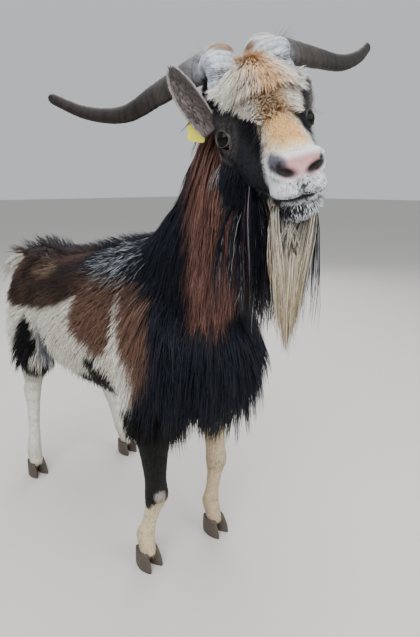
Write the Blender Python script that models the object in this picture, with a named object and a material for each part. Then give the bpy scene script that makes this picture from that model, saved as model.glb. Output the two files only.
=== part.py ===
"""A styrian pied goat buck, life size, standing with its head turned to its right.

Units are metres and +Z is up. The goat faces -Y, so its own left side is +X.
The origin is on the ground, under the middle of the whole goat.
"""

import math
from collections.abc import Callable
from dataclasses import dataclass

import bmesh
import bpy
import numpy as np
from mathutils import Matrix, Vector
from mathutils.bvhtree import BVHTree

# Gap that pieces keep where they touch
GAP = 0.0003
# Extra room round a piece that sits in a hollow of another
SOCKET = 0.0006
# How far a lock is rooted under the surface
LOCK_ROOT = 0.008
UP = Vector((0, 0, 1))
DOWN = Vector((0, 0, -1))
BACK = Vector((0, 1, 0))
LEFT = Vector((1, 0, 0))

# The dense undercoat, as a depth over the skin
TRUNK_CORE = 0.010
NECK_CORE = 0.010
LEG_CORE = 0.002
HEAD_CORE = 0.0015

# Colours, as sRGB parts
TAN = (0.80, 0.70, 0.60)
RED_BROWN = (0.36, 0.20, 0.15)
BLUE_BLACK = (0.15, 0.16, 0.19)
BROWN = (0.42, 0.28, 0.21)
DARK_BROWN = (0.24, 0.18, 0.16)
WHITE = (0.90, 0.88, 0.84)
CREAM = (0.84, 0.77, 0.66)
HORN_GREY = (0.46, 0.43, 0.40)
HOOF_BROWN = (0.36, 0.31, 0.26)
EAR_GREY = (0.45, 0.42, 0.41)
EYE_DARK = (0.30, 0.22, 0.12)
TAG_YELLOW = (0.93, 0.86, 0.22)
# The main colour of each node that has a coat
COAT_COLOURS = {
    "head": TAN,
    "neck": RED_BROWN,
    "chest": BLUE_BLACK,
    "barrel": BROWN,
    "rump": DARK_BROWN,
    "tail": WHITE,
    "foreleg_upper_right": BLUE_BLACK,
    "foreleg_upper_left": BLUE_BLACK,
    "foreleg_lower_right": CREAM,
    "foreleg_lower_left": CREAM,
    "hindleg_upper_right": WHITE,
    "hindleg_upper_left": WHITE,
    "hindleg_lower_right": WHITE,
    "hindleg_lower_left": WHITE,
}

# Trunk sections: place along Y, height of the middle, half width, rise and fall from the middle
TRUNK = (
    (-0.425, 0.545, 0.045, 0.060, 0.060),
    (-0.390, 0.550, 0.082, 0.105, 0.105),
    (-0.320, 0.570, 0.112, 0.150, 0.150),
    (-0.225, 0.585, 0.130, 0.187, 0.180),
    (-0.130, 0.578, 0.143, 0.172, 0.183),
    (-0.030, 0.568, 0.153, 0.162, 0.176),
    (0.080, 0.560, 0.155, 0.146, 0.166),
    (0.180, 0.562, 0.145, 0.128, 0.146),
    (0.270, 0.574, 0.120, 0.128, 0.138),
    (0.345, 0.586, 0.094, 0.118, 0.128),
    (0.397, 0.585, 0.058, 0.080, 0.090),
    (0.416, 0.582, 0.025, 0.035, 0.040),
)
SHOULDER_AT = Vector((0.090, -0.265, 0.530))
SHOULDER_SIZE = Vector((0.050, 0.100, 0.160))
HAUNCH_AT = Vector((0.074, 0.262, 0.555))
HAUNCH_SIZE = Vector((0.060, 0.116, 0.130))
HIP_AT = Vector((0.062, 0.250, 0.680))
HIP_SIZE = Vector((0.032, 0.050, 0.026))

# Neck sections: middle, half width, half depth
NECK = (
    ((0.000, -0.235, 0.620), 0.098, 0.150),
    ((-0.006, -0.325, 0.725), 0.078, 0.112),
    ((-0.020, -0.398, 0.822), 0.064, 0.086),
    ((-0.042, -0.452, 0.905), 0.056, 0.070),
    ((-0.066, -0.497, 0.970), 0.050, 0.056),
)

# The neck twists late, close to the head
NECK_TURN_EASE = 1.5

# The head's own frame: midway between the eyes, turned right, nodding and tilted to its right
HEAD_AT = Vector((-0.127, -0.563, 0.968))
HEAD_TURN = math.radians(40)
HEAD_NOD = math.radians(7)
HEAD_TILT = math.radians(13.5)

# Head sections: place towards the nose, half width, rise of the top and fall of the underside
HEAD = (
    (-0.112, 0.034, 0.034, -0.030),
    (-0.096, 0.050, 0.054, -0.062),
    (-0.065, 0.059, 0.066, -0.090),
    (-0.025, 0.059, 0.062, -0.102),
    (0.015, 0.052, 0.044, -0.104),
    (0.055, 0.043, 0.022, -0.102),
    (0.095, 0.036, 0.000, -0.098),
    (0.125, 0.033, -0.016, -0.094),
    (0.144, 0.027, -0.031, -0.086),
    (0.155, 0.015, -0.043, -0.072),
)
# Round forms of the head: place, then size, on the left side of it
BROW_AT, BROW_SIZE = (-0.006, 0.042, 0.006), (0.036, 0.021, 0.026)
CHEEK_AT, CHEEK_SIZE = (-0.034, 0.040, -0.054), (0.048, 0.019, 0.042)
HORN_BED_AT, HORN_BED_SIZE = (-0.062, 0.032, 0.044), (0.038, 0.030, 0.028)
NOSTRIL_WING_AT, NOSTRIL_WING_SIZE = (0.140, 0.018, -0.050), (0.019, 0.014, 0.015)
UPPER_LIP_AT, UPPER_LIP_SIZE = (0.130, 0.014, -0.073), (0.028, 0.021, 0.016)
CHIN_AT, CHIN_SIZE = (0.114, 0.000, -0.098), (0.030, 0.024, 0.016)
NOSTRIL_AT, NOSTRIL_SIZE = (0.156, 0.016, -0.054), (0.009, 0.0048, 0.0060)
MOUTH_HEIGHT = -0.0850
MOUTH_CORNER = 0.062
MOUTH_REACH = 0.150
MOUTH_HALF_WIDTH = 0.034

EYE_AT = (0.004, 0.0500, -0.015)
EYE_RADIUS = 0.0170
EYE_OPENING = (0.0150, 0.0130)
# How far forwards and up an eye looks, for each step to its side
EYE_FORWARD, EYE_UP = 0.75, 0.05
LID_THICKNESS = 0.0026

# Horns: middles from root to tip in the head's frame, on the left side of it
HORN_RIGHT = (
    (-0.046, 0.031, 0.032),
    (-0.066, 0.033, 0.077),
    (-0.110, 0.063, 0.079),
    (-0.153, 0.124, 0.064),
    (-0.193, 0.186, 0.049),
    (-0.230, 0.251, 0.066),
    (-0.268, 0.313, 0.107),
)
HORN_LEFT = (
    (-0.046, 0.031, 0.032),
    (-0.066, 0.033, 0.077),
    (-0.112, 0.064, 0.080),
    (-0.165, 0.132, 0.062),
    (-0.209, 0.189, 0.047),
    (-0.254, 0.239, 0.050),
    (-0.303, 0.283, 0.066),
)
HORN_DEPTH = (0.040, 0.009)
HORN_THICKNESS = (0.021, 0.006)
HORN_TAPER = 1.35
# How the flat of a horn is turned from the head's length, at its root and at its tip
HORN_SET, HORN_TWIST = math.radians(38), math.radians(85)
HORN_RINGS = 17
HORN_SIDES = 9

# Ears: root and tip in the head's frame, on the left side of it
EAR_ROOT = (-0.056, 0.060, -0.004)
EAR_TIP_RIGHT = (-0.088, 0.098, 0.086)
EAR_TIP_LEFT = (-0.140, 0.108, 0.026)
EAR_HALF_WIDTH = 0.0175
EAR_WALL = 0.0028
EAR_BEND = math.radians(115)
TAG_SIZE = (0.030, 0.034, 0.0016)
TAG_CORNER = 0.005
TAG_ALONG_EAR = 0.42

# Fore leg sections, from the top down: x, y, z, half width, half depth
FORE_LEG = (
    (0.084, -0.268, 0.560, 0.048, 0.086),
    (0.098, -0.246, 0.460, 0.046, 0.066),
    (0.104, -0.238, 0.400, 0.038, 0.052),
    (0.106, -0.243, 0.320, 0.029, 0.035),
    (0.108, -0.248, 0.258, 0.024, 0.026),
    (0.108, -0.251, 0.215, 0.0275, 0.0285),
    (0.109, -0.243, 0.176, 0.0205, 0.0205),
    (0.109, -0.234, 0.130, 0.0175, 0.0185),
    (0.109, -0.224, 0.084, 0.0230, 0.0235),
    (0.109, -0.234, 0.056, 0.0215, 0.0205),
    (0.109, -0.243, 0.030, 0.0230, 0.0220),
)
# Hind leg sections, in the same way
HIND_LEG = (
    (0.082, 0.285, 0.590, 0.048, 0.104),
    (0.112, 0.250, 0.500, 0.046, 0.092),
    (0.124, 0.232, 0.430, 0.044, 0.072),
    (0.120, 0.250, 0.375, 0.033, 0.050),
    (0.114, 0.280, 0.325, 0.023, 0.034),
    (0.112, 0.302, 0.288, 0.0245, 0.034),
    (0.114, 0.303, 0.240, 0.0195, 0.0250),
    (0.120, 0.302, 0.160, 0.0170, 0.0195),
    (0.126, 0.307, 0.086, 0.0225, 0.0245),
    (0.128, 0.303, 0.056, 0.0210, 0.0205),
    (0.128, 0.298, 0.030, 0.0225, 0.0220),
)
# How far each left foot stands from the mirror image of the right one
LEFT_FORE_STEP = Vector((-0.026, -0.040, 0))
LEFT_HIND_STEP = Vector((0.016, -0.104, 0))
# Heights between which a step of the fore and of the hind leg fades out
FORE_STEP_FADES, HIND_STEP_FADES = (0.10, 0.56), (0.05, 0.36)
# The right foreleg leans forwards over its foot
RIGHT_FORE_LEAN = Vector((0, -0.032, 0))
LEAN_RISES, LEAN_FADES = (0.03, 0.20), (0.42, 0.56)

# Hooves: two claws a foot
HOOF_TOP = 0.044
CLAW_LENGTH = 0.062
CLAW_HALF_WIDTH = 0.0125
CLAW_APART = 0.0150
CLAW_TOE_SLOPE = 0.60
CLAW_SPLAY = math.radians(5)
CLAW_SIDES = 10
DEW_CLAW = (0.007, 0.018)

TAIL = (
    ((0.000, 0.375, 0.655), 0.030, 0.024),
    ((-0.004, 0.425, 0.668), 0.024, 0.017),
    ((-0.020, 0.475, 0.656), 0.018, 0.012),
    ((-0.042, 0.515, 0.632), 0.009, 0.007),
)

# Places of the partings: a point and the way that the piece named lies
HEAD_PART = (Vector((-0.062, -0.515, 0.900)), Vector((-0.686, -0.705, 0.178)))
NECK_PART = (Vector((0, -0.215, 0.795)), Vector((0, -0.771, 0.638)))
CHEST_PART = (Vector((0, -0.125, 0.5)), Vector((0, -1, 0)))
BARREL_PART = (Vector((0, 0.045, 0.5)), Vector((0, -1, 0)))
TAIL_PART = (Vector((0, 0.418, 0.66)), Vector((0, 0.99, 0.14)))
ELBOW_PART = (Vector((0, -0.22, 0.372)), DOWN)
KNEE_PART = (Vector((0, -0.23, 0.190)), DOWN)
THIGH_PART = (Vector((0, 0.100, 0.383)), Vector((0, 0.27, -0.963)))
HOCK_PART = (Vector((0, 0.35, 0.252)), Vector((0, 0.2, -0.98)))
FOOT_PART = (Vector((0, 0, HOOF_TOP)), DOWN)
MIDDLE_PART = (Vector((0, 0, 0)), LEFT)
FORE_HIND_PART = (Vector((0, 0.0, 0.3)), Vector((0, -1, 0)))

# The block that takes away one side of a parting
BLOCK_SIZE = 4.0
COAT_PARTINGS = (HEAD_PART, NECK_PART, CHEST_PART, BARREL_PART, TAIL_PART, ELBOW_PART, THIGH_PART)

# Grain, smoothing rounds and triangles of the two skins that the body is cut from
BODY_VOXEL, BODY_SMOOTHING, BODY_FACES = 0.007, 16, 2300
HEAD_VOXEL, HEAD_SMOOTHING, HEAD_FACES = 0.0035, 9, 1400


def head_axes():
    """The head's own directions in the world: towards the nose, its left and its crown."""
    nod = math.cos(HEAD_NOD)
    nose = Vector((-math.sin(HEAD_TURN) * nod, -math.cos(HEAD_TURN) * nod, -math.sin(HEAD_NOD)))
    level_left = UP.cross(nose).normalized()
    level_crown = nose.cross(level_left).normalized()
    left = level_left * math.cos(HEAD_TILT) + level_crown * math.sin(HEAD_TILT)
    crown = level_crown * math.cos(HEAD_TILT) - level_left * math.sin(HEAD_TILT)
    return nose, left, crown


NOSE, HEAD_LEFT, CROWN = head_axes()


def on_head(place, side=1):
    """A place given in the head's frame, as a world point, on its left (1) or its right (-1)."""
    return HEAD_AT + NOSE * place[0] + HEAD_LEFT * (side * place[1]) + CROWN * place[2]


def paint(name, colour, roughness=0.7):
    """A material of one colour, from sRGB parts between 0 and 1."""
    material = bpy.data.materials.get(name) or bpy.data.materials.new(name)
    material.use_nodes = True
    shader = material.node_tree.nodes["Principled BSDF"]
    linear = [part / 12.92 if part <= 0.04045 else ((part + 0.055) / 1.055) ** 2.4 for part in colour]
    shader.inputs["Base Color"].default_value = (*linear, 1)
    shader.inputs["Roughness"].default_value = roughness
    return material


def mesh_object(name, bm):
    """A scene object from a bmesh, which is used up."""
    mesh = bpy.data.meshes.new(name)
    bm.to_mesh(mesh)
    bm.free()
    obj = bpy.data.objects.new(name, mesh)
    bpy.context.scene.collection.objects.link(obj)
    return obj


def discard(*objects):
    for obj in objects:
        bpy.data.objects.remove(obj)


def bake_modifiers(obj):
    """Makes the modifiers' result the object's own mesh."""
    graph = bpy.context.evaluated_depsgraph_get()
    mesh = bpy.data.meshes.new_from_object(obj.evaluated_get(graph))
    obj.modifiers.clear()
    obj.data = mesh
    return obj


def loft(bm, rings):
    """Joins rings of points of one length into a closed tube."""
    rows = [[bm.verts.new(point) for point in ring] for ring in rings]
    count = len(rows[0])
    for one, two in zip(rows, rows[1:]):
        for i in range(count):
            j = (i + 1) % count
            bm.faces.new((one[i], one[j], two[j], two[i]))
    bm.faces.new(rows[0][::-1])
    bm.faces.new(rows[-1])


def oval(middle, side, rise, half_width, up_size, down_size, points=20):
    """A ring of points, wider above or below its middle as the two sizes say."""
    ring = []
    for i in range(points):
        angle = 2 * math.pi * i / points
        height = math.sin(angle)
        tall = up_size if height > 0 else down_size
        ring.append(middle + side * (half_width * math.cos(angle)) + rise * (tall * height))
    return ring


def ball(bm, middle, sizes, axes=(LEFT, BACK, UP), rings=12):
    """An ellipsoid with its sizes along three given axes."""
    turn = Matrix(axes).transposed().to_4x4()
    place = Matrix.Translation(middle) @ turn @ Matrix.Diagonal((*sizes, 1))
    bmesh.ops.create_uvsphere(bm, u_segments=rings * 2, v_segments=rings, radius=1, matrix=place)


def face_out(bm):
    bmesh.ops.recalc_face_normals(bm, faces=bm.faces)


def tangents(points):
    ways = []
    for i in range(len(points)):
        ahead = points[min(i + 1, len(points) - 1)]
        behind = points[max(i - 1, 0)]
        ways.append((ahead - behind).normalized())
    return ways


def trunk(bm, core):
    rings = []
    for along, height, half_width, rise, fall in TRUNK:
        middle = Vector((0, along, height))
        rings.append(oval(middle, LEFT, UP, half_width + core, rise + core, fall + core))
    loft(bm, rings)
    for side in (-1, 1):
        for place, size in ((SHOULDER_AT, SHOULDER_SIZE), (HAUNCH_AT, HAUNCH_SIZE), (HIP_AT, HIP_SIZE)):
            middle = Vector((place.x * side, place.y, place.z))
            ball(bm, middle, [part + core for part in size])


def neck(bm, core):
    """The neck turns from the trunk's own directions to the head's."""
    middles = [Vector(section[0]) for section in NECK]
    ways = tangents(middles)
    rings = []
    for i, (section, way) in enumerate(zip(NECK, ways)):
        share = (i / (len(NECK) - 1)) ** NECK_TURN_EASE
        side = LEFT.lerp(HEAD_LEFT, share)
        side = (side - way * side.dot(way)).normalized()
        depth = way.cross(side)
        rings.append(oval(middles[i], side, depth, section[1] + core, section[2] + core, section[2] + core))
    loft(bm, rings)


def tail(bm, core):
    middles = [Vector(section[0]) for section in TAIL]
    rings = []
    for middle, way, section in zip(middles, tangents(middles), TAIL):
        rise = LEFT.cross(way)
        rings.append(oval(middle, LEFT, rise, section[1] + core, section[2] + core, section[2] + core))
    loft(bm, rings)


def ramp(height, low, high):
    """From 0 at the low height to 1 at the high one."""
    return min(1, max(0, (height - low) / (high - low)))


def leg_sections(sections, side, step, fades, lean=Vector((0, 0, 0))):
    """Middles and sizes of one leg, stepped and leaning away from the plain stance."""
    placed = []
    for x, y, z, half_width, half_depth in sections:
        stepped = step * (1 - ramp(z, *fades))
        leaning = lean * (ramp(z, *LEAN_RISES) * (1 - ramp(z, *LEAN_FADES)))
        placed.append((Vector((x * side, y, z)) + stepped + leaning, half_width, half_depth))
    return placed


def legs():
    """Each leg's name and placed sections."""
    still = Vector((0, 0, 0))
    return {
        "foreleg_right": leg_sections(FORE_LEG, -1, still, FORE_STEP_FADES, RIGHT_FORE_LEAN),
        "foreleg_left": leg_sections(FORE_LEG, 1, LEFT_FORE_STEP, FORE_STEP_FADES),
        "hindleg_right": leg_sections(HIND_LEG, -1, still, HIND_STEP_FADES),
        "hindleg_left": leg_sections(HIND_LEG, 1, LEFT_HIND_STEP, HIND_STEP_FADES),
    }


def leg(bm, sections, core):
    rings = []
    for middle, half_width, half_depth in sections:
        rings.append(oval(middle, LEFT, BACK, half_width + core, half_depth + core, half_depth + core))
    loft(bm, rings)


def head(bm, core):
    """Skull and muzzle, with the round forms that show under the skin."""
    rings = []
    for along, half_width, top, bottom in HEAD:
        middle = on_head((along, 0, (top + bottom) / 2))
        tall = (top - bottom) / 2 + core
        rings.append(oval(middle, HEAD_LEFT, CROWN, half_width + core, tall, tall))
    loft(bm, rings)
    axes = (NOSE, HEAD_LEFT, CROWN)
    for side in (-1, 1):
        for place, size in (
            (BROW_AT, BROW_SIZE),
            (CHEEK_AT, CHEEK_SIZE),
            (HORN_BED_AT, HORN_BED_SIZE),
            (NOSTRIL_WING_AT, NOSTRIL_WING_SIZE),
            (UPPER_LIP_AT, UPPER_LIP_SIZE),
            (CHIN_AT, CHIN_SIZE),
        ):
            ball(bm, on_head(place, side), [part + core for part in size], axes)


def remesh(obj, voxel, smoothing, faces):
    """One smooth skin over all that the object holds, with about this many triangles."""
    fuse = obj.modifiers.new("fuse", "REMESH")
    fuse.mode = "VOXEL"
    fuse.voxel_size = voxel
    soften = obj.modifiers.new("soften", "SMOOTH")
    soften.factor = 0.5
    soften.iterations = smoothing
    bake_modifiers(obj)
    obj.data.calc_loop_triangles()
    return thin_out(obj, min(1, faces / len(obj.data.loop_triangles)))


def thin_out(obj, share):
    """Collapses the least telling edges until this share of the triangles is left."""
    thin = obj.modifiers.new("thin", "DECIMATE")
    thin.ratio = share
    thin.use_collapse_triangulate = True
    return bake_modifiers(obj)


def is_closed(obj):
    """Whether each edge of the object lies between two faces once it is made of triangles."""
    bm = bmesh.new()
    bm.from_mesh(obj.data)
    bmesh.ops.triangulate(bm, faces=bm.faces)
    closed = all(edge.is_manifold and edge.is_contiguous for edge in bm.edges)
    bm.to_mesh(obj.data)
    bm.free()
    return closed


def body_form():
    bm = bmesh.new()
    trunk(bm, TRUNK_CORE)
    neck(bm, NECK_CORE)
    tail(bm, LEG_CORE)
    for sections in legs().values():
        leg(bm, sections, LEG_CORE)
    face_out(bm)
    return remesh(mesh_object("body_form", bm), BODY_VOXEL, BODY_SMOOTHING, BODY_FACES)


def head_form():
    bm = bmesh.new()
    head(bm, HEAD_CORE)
    neck(bm, NECK_CORE)
    face_out(bm)
    return remesh(mesh_object("head_form", bm), HEAD_VOXEL, HEAD_SMOOTHING, HEAD_FACES)


def copy_of(obj, name):
    twin = bpy.data.objects.new(name, obj.data.copy())
    bpy.context.scene.collection.objects.link(twin)
    return twin


def side_block(part, away):
    """A large block whose face lies half a gap off a parting, on the side that is taken away."""
    point, way = part
    way = way.normalized() * (-1 if away else 1)
    turn = way.to_track_quat("Z", "Y").to_matrix().to_4x4()
    middle = point + way * (BLOCK_SIZE / 2 - GAP / 2)
    bm = bmesh.new()
    bmesh.ops.create_cube(bm, size=BLOCK_SIZE, matrix=Matrix.Translation(middle) @ turn)
    return mesh_object("block", bm)


def boolean(obj, others, operation):
    """Joins the others to the object, or cuts them from it, and removes them."""
    group = bpy.data.collections.new("pieces")
    bpy.context.scene.collection.children.link(group)
    for other in others:
        group.objects.link(other)
    change = obj.modifiers.new("change", "BOOLEAN")
    change.operation = operation
    change.operand_type = "COLLECTION"
    change.collection = group
    change.solver = "MANIFOLD"
    bake_modifiers(obj)
    discard(*others)
    bpy.data.collections.remove(group)
    return obj


def islands(bm):
    """The bmesh's separate surfaces, as lists of faces."""
    left_over = set(bm.faces)
    found = []
    while left_over:
        frontier = [left_over.pop()]
        island = list(frontier)
        while frontier:
            face = frontier.pop()
            for edge in face.edges:
                for near in edge.link_faces:
                    if near in left_over:
                        left_over.remove(near)
                        frontier.append(near)
                        island.append(near)
        found.append(island)
    return found


def box_volume(faces):
    points = [vert.co for face in faces for vert in face.verts]
    low = [min(point[i] for point in points) for i in range(3)]
    high = [max(point[i] for point in points) for i in range(3)]
    return math.prod(high[i] - low[i] for i in range(3))


def keep_largest(obj):
    """Drops all but the largest closed surface."""
    bm = bmesh.new()
    bm.from_mesh(obj.data)
    groups = sorted(islands(bm), key=box_volume)
    for group in groups[:-1]:
        bmesh.ops.delete(bm, geom=group, context="FACES")
    bm.to_mesh(obj.data)
    bm.free()
    return obj


def keep_side(obj, *parts):
    """Keeps what lies on the named side of each parting. A parting and False keep the other side."""
    for part, toward in parts:
        boolean(obj, [side_block(part, toward)], "DIFFERENCE")
    return obj


def swollen(obj, by):
    """A slightly fatter copy, used to cut room for the object."""
    twin = copy_of(obj, obj.name + "_room")
    bm = bmesh.new()
    bm.from_mesh(twin.data)
    bm.normal_update()
    moves = [vert.normal * by for vert in bm.verts]
    for vert, move in zip(bm.verts, moves):
        vert.co += move
    bm.to_mesh(twin.data)
    bm.free()
    return twin


def smooth_curve(points, share):
    """A point on a smooth curve through the given points, and never a corner at one."""
    place = share * (len(points) - 1)
    i = min(int(place), len(points) - 2)
    t = place - i
    before = points[i - 1] if i > 0 else points[i] * 2 - points[i + 1]
    after = points[i + 2] if i + 2 < len(points) else points[i + 1] * 2 - points[i]
    a, b = points[i], points[i + 1]
    return 0.5 * (
        2 * a + (b - before) * t + (2 * before - 5 * a + 4 * b - after) * t * t
        + (3 * a - before - 3 * b + after) * t ** 3
    )


def horn(name, places, side):
    """A flattened horn with growth rings near its root, turning as it goes out."""
    places = [on_head(place, side) for place in places]
    middles = [smooth_curve(places, i / (HORN_RINGS - 1)) for i in range(HORN_RINGS)]
    bm = bmesh.new()
    rings = []
    for i, (middle, way) in enumerate(zip(middles, tangents(middles))):
        share = i / (HORN_RINGS - 1)
        ridge = 1 + 0.05 * (1 - share) * (1 if i % 2 else -1)
        taper = (1 - share) ** HORN_TAPER
        half_depth = (HORN_DEPTH[1] + (HORN_DEPTH[0] - HORN_DEPTH[1]) * taper) * ridge
        half_thick = (HORN_THICKNESS[1] + (HORN_THICKNESS[0] - HORN_THICKNESS[1]) * taper) * ridge
        if i == HORN_RINGS - 1:
            half_depth, half_thick = half_depth * 0.45, half_thick * 0.45
        depth = (NOSE - way * NOSE.dot(way)).normalized()
        turn = HORN_SET + (HORN_TWIST - HORN_SET) * share ** 3
        depth = Matrix.Rotation(side * turn, 3, way) @ depth
        across = way.cross(depth)
        rings.append(oval(middle, depth, across, half_depth, half_thick, half_thick, HORN_SIDES))
    loft(bm, rings)
    face_out(bm)
    bmesh.ops.triangulate(bm, faces=bm.faces)
    return finish(mesh_object(name, bm), paint("horn", HORN_GREY, 0.45))


def ear_frame(side):
    """Root, tip and directions of an ear: along it, into its hollow and across it."""
    root = on_head(EAR_ROOT, side)
    tip = on_head(EAR_TIP_RIGHT if side < 0 else EAR_TIP_LEFT, side)
    along = (tip - root).normalized()
    forward = NOSE * 0.85 + HEAD_LEFT * (side * 0.6)
    hollow = (forward - along * forward.dot(along)).normalized()
    return root, tip, along, hollow, along.cross(hollow)


def ear_radius(share):
    """The radius of the bent strip that the ear is, from root to tip."""
    half = EAR_HALF_WIDTH * (0.72 + 0.9 * share) * (1 - share ** 1.9) ** 0.8 + 0.0025
    return half / math.sin(EAR_BEND / 2)


def ear(name, side):
    """A leaf-shaped cup: each section is a bent strip with its wall's thickness."""
    root, tip, along, hollow, across = ear_frame(side)
    length = (tip - root).length
    stations, strip = 9, 5
    bm = bmesh.new()
    rings = []
    for i in range(stations):
        share = 1 - (1 - i / (stations - 1)) ** 1.5
        radius = ear_radius(share)
        middle = root + along * (length * share) + hollow * radius
        outer, inner = [], []
        for k in range(strip + 1):
            angle = EAR_BEND * (k / strip - 0.5)
            spoke = across * math.sin(angle) - hollow * math.cos(angle)
            wall = EAR_WALL * (0.45 + 0.55 * math.cos(angle))
            outer.append(middle + spoke * radius)
            inner.append(middle + spoke * max(radius - wall, radius * 0.4))
        rings.append(outer + inner[::-1])
    loft(bm, rings)
    face_out(bm)
    bmesh.ops.triangulate(bm, faces=bm.faces)
    return finish(mesh_object(name, bm), paint("ear", EAR_GREY))


def ear_tag(name, side):
    """A plain plate on the back of the ear, with rounded corners."""
    root, tip, along, hollow, across = ear_frame(side)
    width, height, thick = TAG_SIZE
    back = root + (tip - root) * TAG_ALONG_EAR
    hang = (DOWN + along * 0.2 - hollow * (DOWN + along * 0.2).dot(hollow)).normalized()
    wide = hang.cross(hollow)
    middle = back - hollow * (thick / 2 + SOCKET) + hang * (height * 0.36)
    bm = bmesh.new()
    turn = Matrix((wide, hang, hollow)).transposed().to_4x4()
    place = Matrix.Translation(middle) @ turn @ Matrix.Diagonal((width, height, thick, 1))
    bmesh.ops.create_cube(bm, size=1, matrix=place)
    upright = [edge for edge in bm.edges if abs((edge.verts[0].co - edge.verts[1].co).dot(hollow)) > thick / 2]
    bmesh.ops.bevel(bm, geom=upright, offset=TAG_CORNER, segments=3, affect="EDGES", profile=0.5, material=-1)
    bmesh.ops.triangulate(bm, faces=bm.faces)
    return finish(mesh_object(name, bm), paint("tag", TAG_YELLOW, 0.4))


def eye(name, side):
    bm = bmesh.new()
    ball(bm, on_head(EYE_AT, side), [EYE_RADIUS] * 3, (HEAD_LEFT * side, CROWN, NOSE * side), 6)
    face_out(bm)
    bmesh.ops.triangulate(bm, faces=bm.faces)
    return finish(mesh_object(name, bm), paint("eye", EYE_DARK, 0.1))


def lid(side, upper):
    """Half of the rim round the eye, from corner to corner, as a thin tube that lies on the ball."""
    middle = on_head(EYE_AT, side)
    out = (HEAD_LEFT * side + NOSE * EYE_FORWARD + CROWN * EYE_UP).normalized()
    along = (NOSE - out * NOSE.dot(out)).normalized()
    rise = along.cross(out) * (1 if along.cross(out).dot(CROWN) > 0 else -1)
    steps = 7
    bm = bmesh.new()
    points = []
    for i in range(steps):
        angle = math.pi * i / (steps - 1)
        x = math.cos(angle) * EYE_OPENING[0]
        y = math.sin(angle) * EYE_OPENING[1] * (1 if upper else -0.8)
        flat = along * x + rise * y
        deep = math.sqrt((EYE_RADIUS + 0.0008) ** 2 - flat.length_squared)
        points.append(middle + flat + out * deep)
    rings = []
    for point, way in zip(points, tangents(points)):
        spoke = (point - middle).normalized()
        across = way.cross(spoke).normalized()
        rings.append(oval(point, across, spoke, LID_THICKNESS, LID_THICKNESS * 0.8, LID_THICKNESS * 0.8, 6))
    loft(bm, rings)
    face_out(bm)
    return mesh_object("lid", bm)


def nostril(side):
    bm = bmesh.new()
    axes = (NOSE, (HEAD_LEFT * side + CROWN * 0.5).normalized(), (CROWN - HEAD_LEFT * (side * 0.5)).normalized())
    ball(bm, on_head(NOSTRIL_AT, side), NOSTRIL_SIZE, axes, 6)
    face_out(bm)
    return mesh_object("nostril", bm)


def mouth_line():
    """A thin wedge that follows the lips from one corner of the mouth round to the other."""
    bm = bmesh.new()
    rings = []
    steps = 15
    for i in range(steps):
        turn = math.pi * (i / (steps - 1) - 0.5)
        along = MOUTH_CORNER + (MOUTH_REACH - MOUTH_CORNER) * math.cos(turn) ** 0.7
        across = MOUTH_HALF_WIDTH * math.sin(turn) * (1.05 - 0.10 * math.cos(turn))
        drop = MOUTH_HEIGHT + 0.006 * (1 - math.cos(turn))
        edge = on_head((along, across, drop))
        inner = on_head((along * 0.86, across * 0.78, drop))
        out = (edge - inner).normalized()
        rings.append((inner, edge + out * 0.010 + CROWN * 0.0022, edge + out * 0.010 - CROWN * 0.0022))
    loft(bm, rings)
    face_out(bm)
    return mesh_object("mouth_line", bm)


def claw(name, middle, side):
    """One half of a hoof: flat below, with a sloping front wall."""
    bm = bmesh.new()
    rings = []
    turn = Matrix.Rotation(CLAW_SPLAY * side, 3, "Z")
    levels = ((0.0, 1.0, 0.0), (0.022, 0.94, 0.05), (HOOF_TOP - GAP / 2, 0.74, 0.18))
    for height, scale, set_back in levels:
        ring = []
        for i in range(CLAW_SIDES):
            angle = 2 * math.pi * i / CLAW_SIDES
            forward = -math.cos(angle)
            narrow = 1 - 0.45 * max(0.0, math.cos(angle)) ** 2
            x = math.sin(angle) * CLAW_HALF_WIDTH * scale * narrow
            y = forward * CLAW_LENGTH / 2 * scale + set_back * CLAW_LENGTH * CLAW_TOE_SLOPE
            ring.append(middle + turn @ Vector((x, y, 0)) + UP * height)
        rings.append(ring)
    loft(bm, rings)
    face_out(bm)
    bmesh.ops.triangulate(bm, faces=bm.faces)
    return finish(mesh_object(name, bm), paint("hoof", HOOF_BROWN, 0.5))


def dew_claws(sections):
    """The two small claws behind the fetlock."""
    middle, half_width, half_depth = sections[8]
    made = []
    for side in (-1, 1):
        bm = bmesh.new()
        radius, length = DEW_CLAW
        start = middle + Vector((side * half_width * 0.55, half_depth * 0.62, 0.004))
        way = Vector((side * 0.25, 0.55, -0.80)).normalized()
        place = Matrix.Translation(start) @ way.to_track_quat("Z", "Y").to_matrix().to_4x4()
        bmesh.ops.create_cone(
            bm, cap_ends=True, segments=6, radius1=radius, radius2=radius * 0.4, depth=length, matrix=place
        )
        made.append(mesh_object("dew_claw", bm))
    return made


def finish(obj, material):
    obj.data.materials.clear()
    obj.data.materials.append(material)
    obj.data.shade_smooth()
    obj.data.set_sharp_from_angle(angle=math.radians(45))
    return obj


def tree_of(*objects):
    """A search tree over the surfaces of the objects."""
    points, faces = [], []
    for obj in objects:
        first = len(points)
        points += [vert.co.copy() for vert in obj.data.vertices]
        faces += [[first + i for i in face.vertices] for face in obj.data.polygons]
    return BVHTree.FromPolygons(points, faces)


def on_parting(point, normal):
    """Whether a place is on a flat face that parts two nodes, where no coat grows."""
    for place, way in COAT_PARTINGS:
        way = way.normalized()
        if abs((point - place).dot(way)) < GAP and abs(normal.dot(way)) > 0.99:
            return True
    return False


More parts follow.
